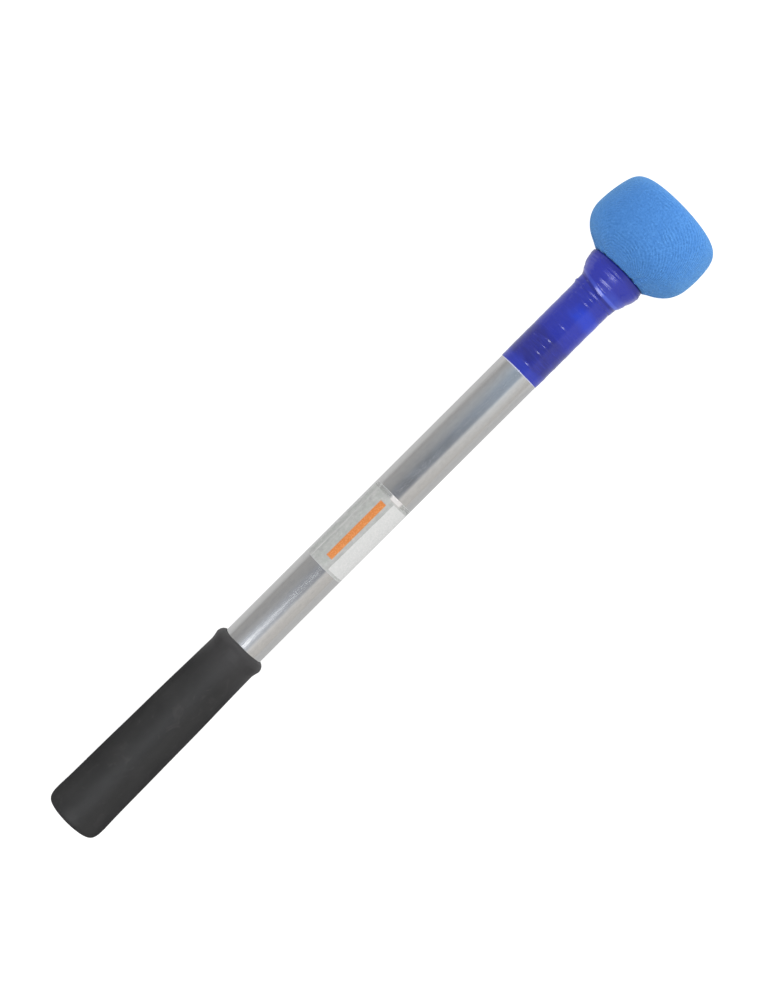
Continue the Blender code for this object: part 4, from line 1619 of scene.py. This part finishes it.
def make_floor():
    """A white floor. Where something mirrors it, it is white beside the tube and its tape, with dark cards beside the grip, and it throws less light up than the camera sees."""
    mesh = bpy.data.meshes.new("floor")
    half = 6.0
    mesh.from_pydata(
        [(-half, -half, 0), (half, -half, 0), (half, half, 0), (-half, half, 0)],
        [],
        [(0, 1, 2, 3)],
    )
    floor = bpy.data.objects.new("floor", mesh)
    bpy.context.scene.collection.objects.link(floor)
    floor.location = (0.0, 0.0, -0.00006)
    f = Finish("pale_floor", Roughness=1.0)
    f.set("Specular IOR Level", 0.0)
    f.set("Emission Color", (1.0, 1.0, 1.0))
    path = f.add("ShaderNodeLightPath")
    seen, mirrored = path.outputs["Is Camera Ray"], path.outputs["Is Glossy Ray"]
    x, y, _ = f.parts(f.object_mm())
    # The tube by the grip's mouth mirrors places further out and further back
    leaning = f.math("ADD", x, f.math("MULTIPLY", f.math("ABSOLUTE", y), 0.17))
    lit = f.step(leaning, -93.0, -78.0)
    neck = f.within(x, 86.0, 142.0, 8.0)
    away = f.scaled(y, 30.0, 230.0, 0.45, 0.20)
    bright_side = f.scaled(f.step(y, -4.0, 4.0), 0.0, 1.0, 0.33, away)
    far_end = f.math("ADD", x, f.scaled(f.step(y, -4.0, 4.0), 0.0, 1.0, 0.0, 11.0))
    bright_side = f.scaled(f.step(far_end, 138.0, 146.0), 0.0, 1.0, bright_side, 0.12)
    glow = f.math("MULTIPLY", lit, bright_side)
    glow = f.math("ADD", glow, f.math("MULTIPLY", neck, 0.10))
    glow = f.scaled(mirrored, 0.0, 1.0, 0.24, glow)
    base = f.scaled(mirrored, 0.0, 1.0, 0.42, f.scaled(lit, 0.0, 1.0, 0.12, 0.42))
    base = f.scaled(seen, 0.0, 1.0, base, 0.42)
    f.set("Base Color", f.joined(base, base, base))
    f.set("Emission Strength", f.scaled(seen, 0.0, 1.0, glow, 0.85))
    mesh.materials.append(f.material)


# ---------------------------------------------------------------- putting it together

make_world()
make_floor()
make_lamp("end_softbox", (1.08, -0.38, 0.42), (0.14, 0.0, 0.02), 0.5, 4.8)
bpy.context.scene.view_settings.view_transform = "Standard"
bpy.context.scene.view_settings.look = "None"

settle(make_tube(aluminium()), "aluminium", "shaft_tube")
settle(make_grip(rubber()), "grip_rubber", "handle_grip")
settle(make_label(label_film()), "label_film", "shaft_label")

START_BLUE = (0.022, 0.036, 0.40)
DARK_BLUE = (0.018, 0.021, 0.235)
MID_BLUE = (0.021, 0.032, 0.385)
LIT_SIDE_BLUE = (0.019, 0.050, 0.580)
DEEP_BLUE = (0.018, 0.026, 0.345)
COLLAR_BLUE = (0.024, 0.035, 0.425)
settle(
    make_start_turn(
        tape(
            "pvc_start", ((260.0, START_BLUE), (266.0, START_BLUE)), rim=TAPE_BLUE_FROM
        )
    ),
    "pvc_tape",
    "tape_start_turn",
)
settle(
    make_wraps(
        tape(
            "pvc_neck",
            (
                (261.0, START_BLUE),
                (264.5, START_BLUE),
                (266.5, DARK_BLUE),
                (278.5, DARK_BLUE),
                (281.5, DEEP_BLUE),
                (286.5, MID_BLUE),
                (304.0, MID_BLUE),
            ),
            # A painted highlight on the neck's side that faces -Y
            bright=(290.8, 297.6, LIT_SIDE_BLUE),
        )
    ),
    "pvc_tape",
    "neck_tape_wraps",
)
settle(
    make_collar(
        tape(
            "pvc_collar",
            (
                (302.0, MID_BLUE),
                (305.0, MID_BLUE),
                (307.5, COLLAR_BLUE),
                (315.0, COLLAR_BLUE),
                # Darker over the last millimetres by the head: painted shade where the collar meets the cover
                (318.5, DARK_BLUE),
            ),
            crease=True,
        )
    ),
    "pvc_tape",
    "collar_tape",
)
cover = settle(make_cover(knit()), "cover_knit", "head_cover")

dowel_wood = wood("dowel_wood", (0.40, 0.26, 0.13), (0.66, 0.48, 0.28))
core_wood = wood("core_wood", (0.44, 0.30, 0.16), (0.72, 0.54, 0.33))
pin_steel = steel("pin_steel", (0.56, 0.56, 0.57), 0.26)
washer_steel = steel("washer_steel", (0.60, 0.60, 0.60), 0.30)
screw_plating = steel("screw_plating", (0.66, 0.62, 0.50), 0.24)
settle(make_dowel(dowel_wood), "hardwood", "shaft_dowel")
settle(make_core(core_wood), "hardwood", "head_core")
settle(make_pin(pin_steel), "steel", "dowel_pin")
settle(make_washer(washer_steel), "steel", "core_washer")
settle(make_screw(screw_plating), "plated_steel", "core_screw")
settle(make_lashing(twine()), "twine", "cover_lashing")
for make, material, slot, node, fill in (
    (
        make_rear_ring,
        felt("ring_felt", (0.46, 0.44, 0.38), (0.72, 0.70, 0.64)),
        "wool_felt",
        "felt_rear_ring",
        1.0,
    ),
    (
        make_inner_winding,
        felt("inner_felt", (0.48, 0.46, 0.41), (0.74, 0.72, 0.66)),
        "wool_felt",
        "felt_winding_inner",
        1.0,
    ),
    (
        make_outer_winding,
        felt("outer_felt", (0.50, 0.48, 0.43), (0.78, 0.76, 0.70)),
        "wool_felt",
        "felt_winding_outer",
        1.0,
    ),
    (
        make_front_pad,
        felt("pad_felt", (0.52, 0.50, 0.45), (0.80, 0.78, 0.72)),
        "wool_felt",
        "felt_front_pad",
        1.0,
    ),
    (make_foam, foam(), "thin_foam", "foam_jacket", 0.9),
):
    settle(make(material), slot, node)
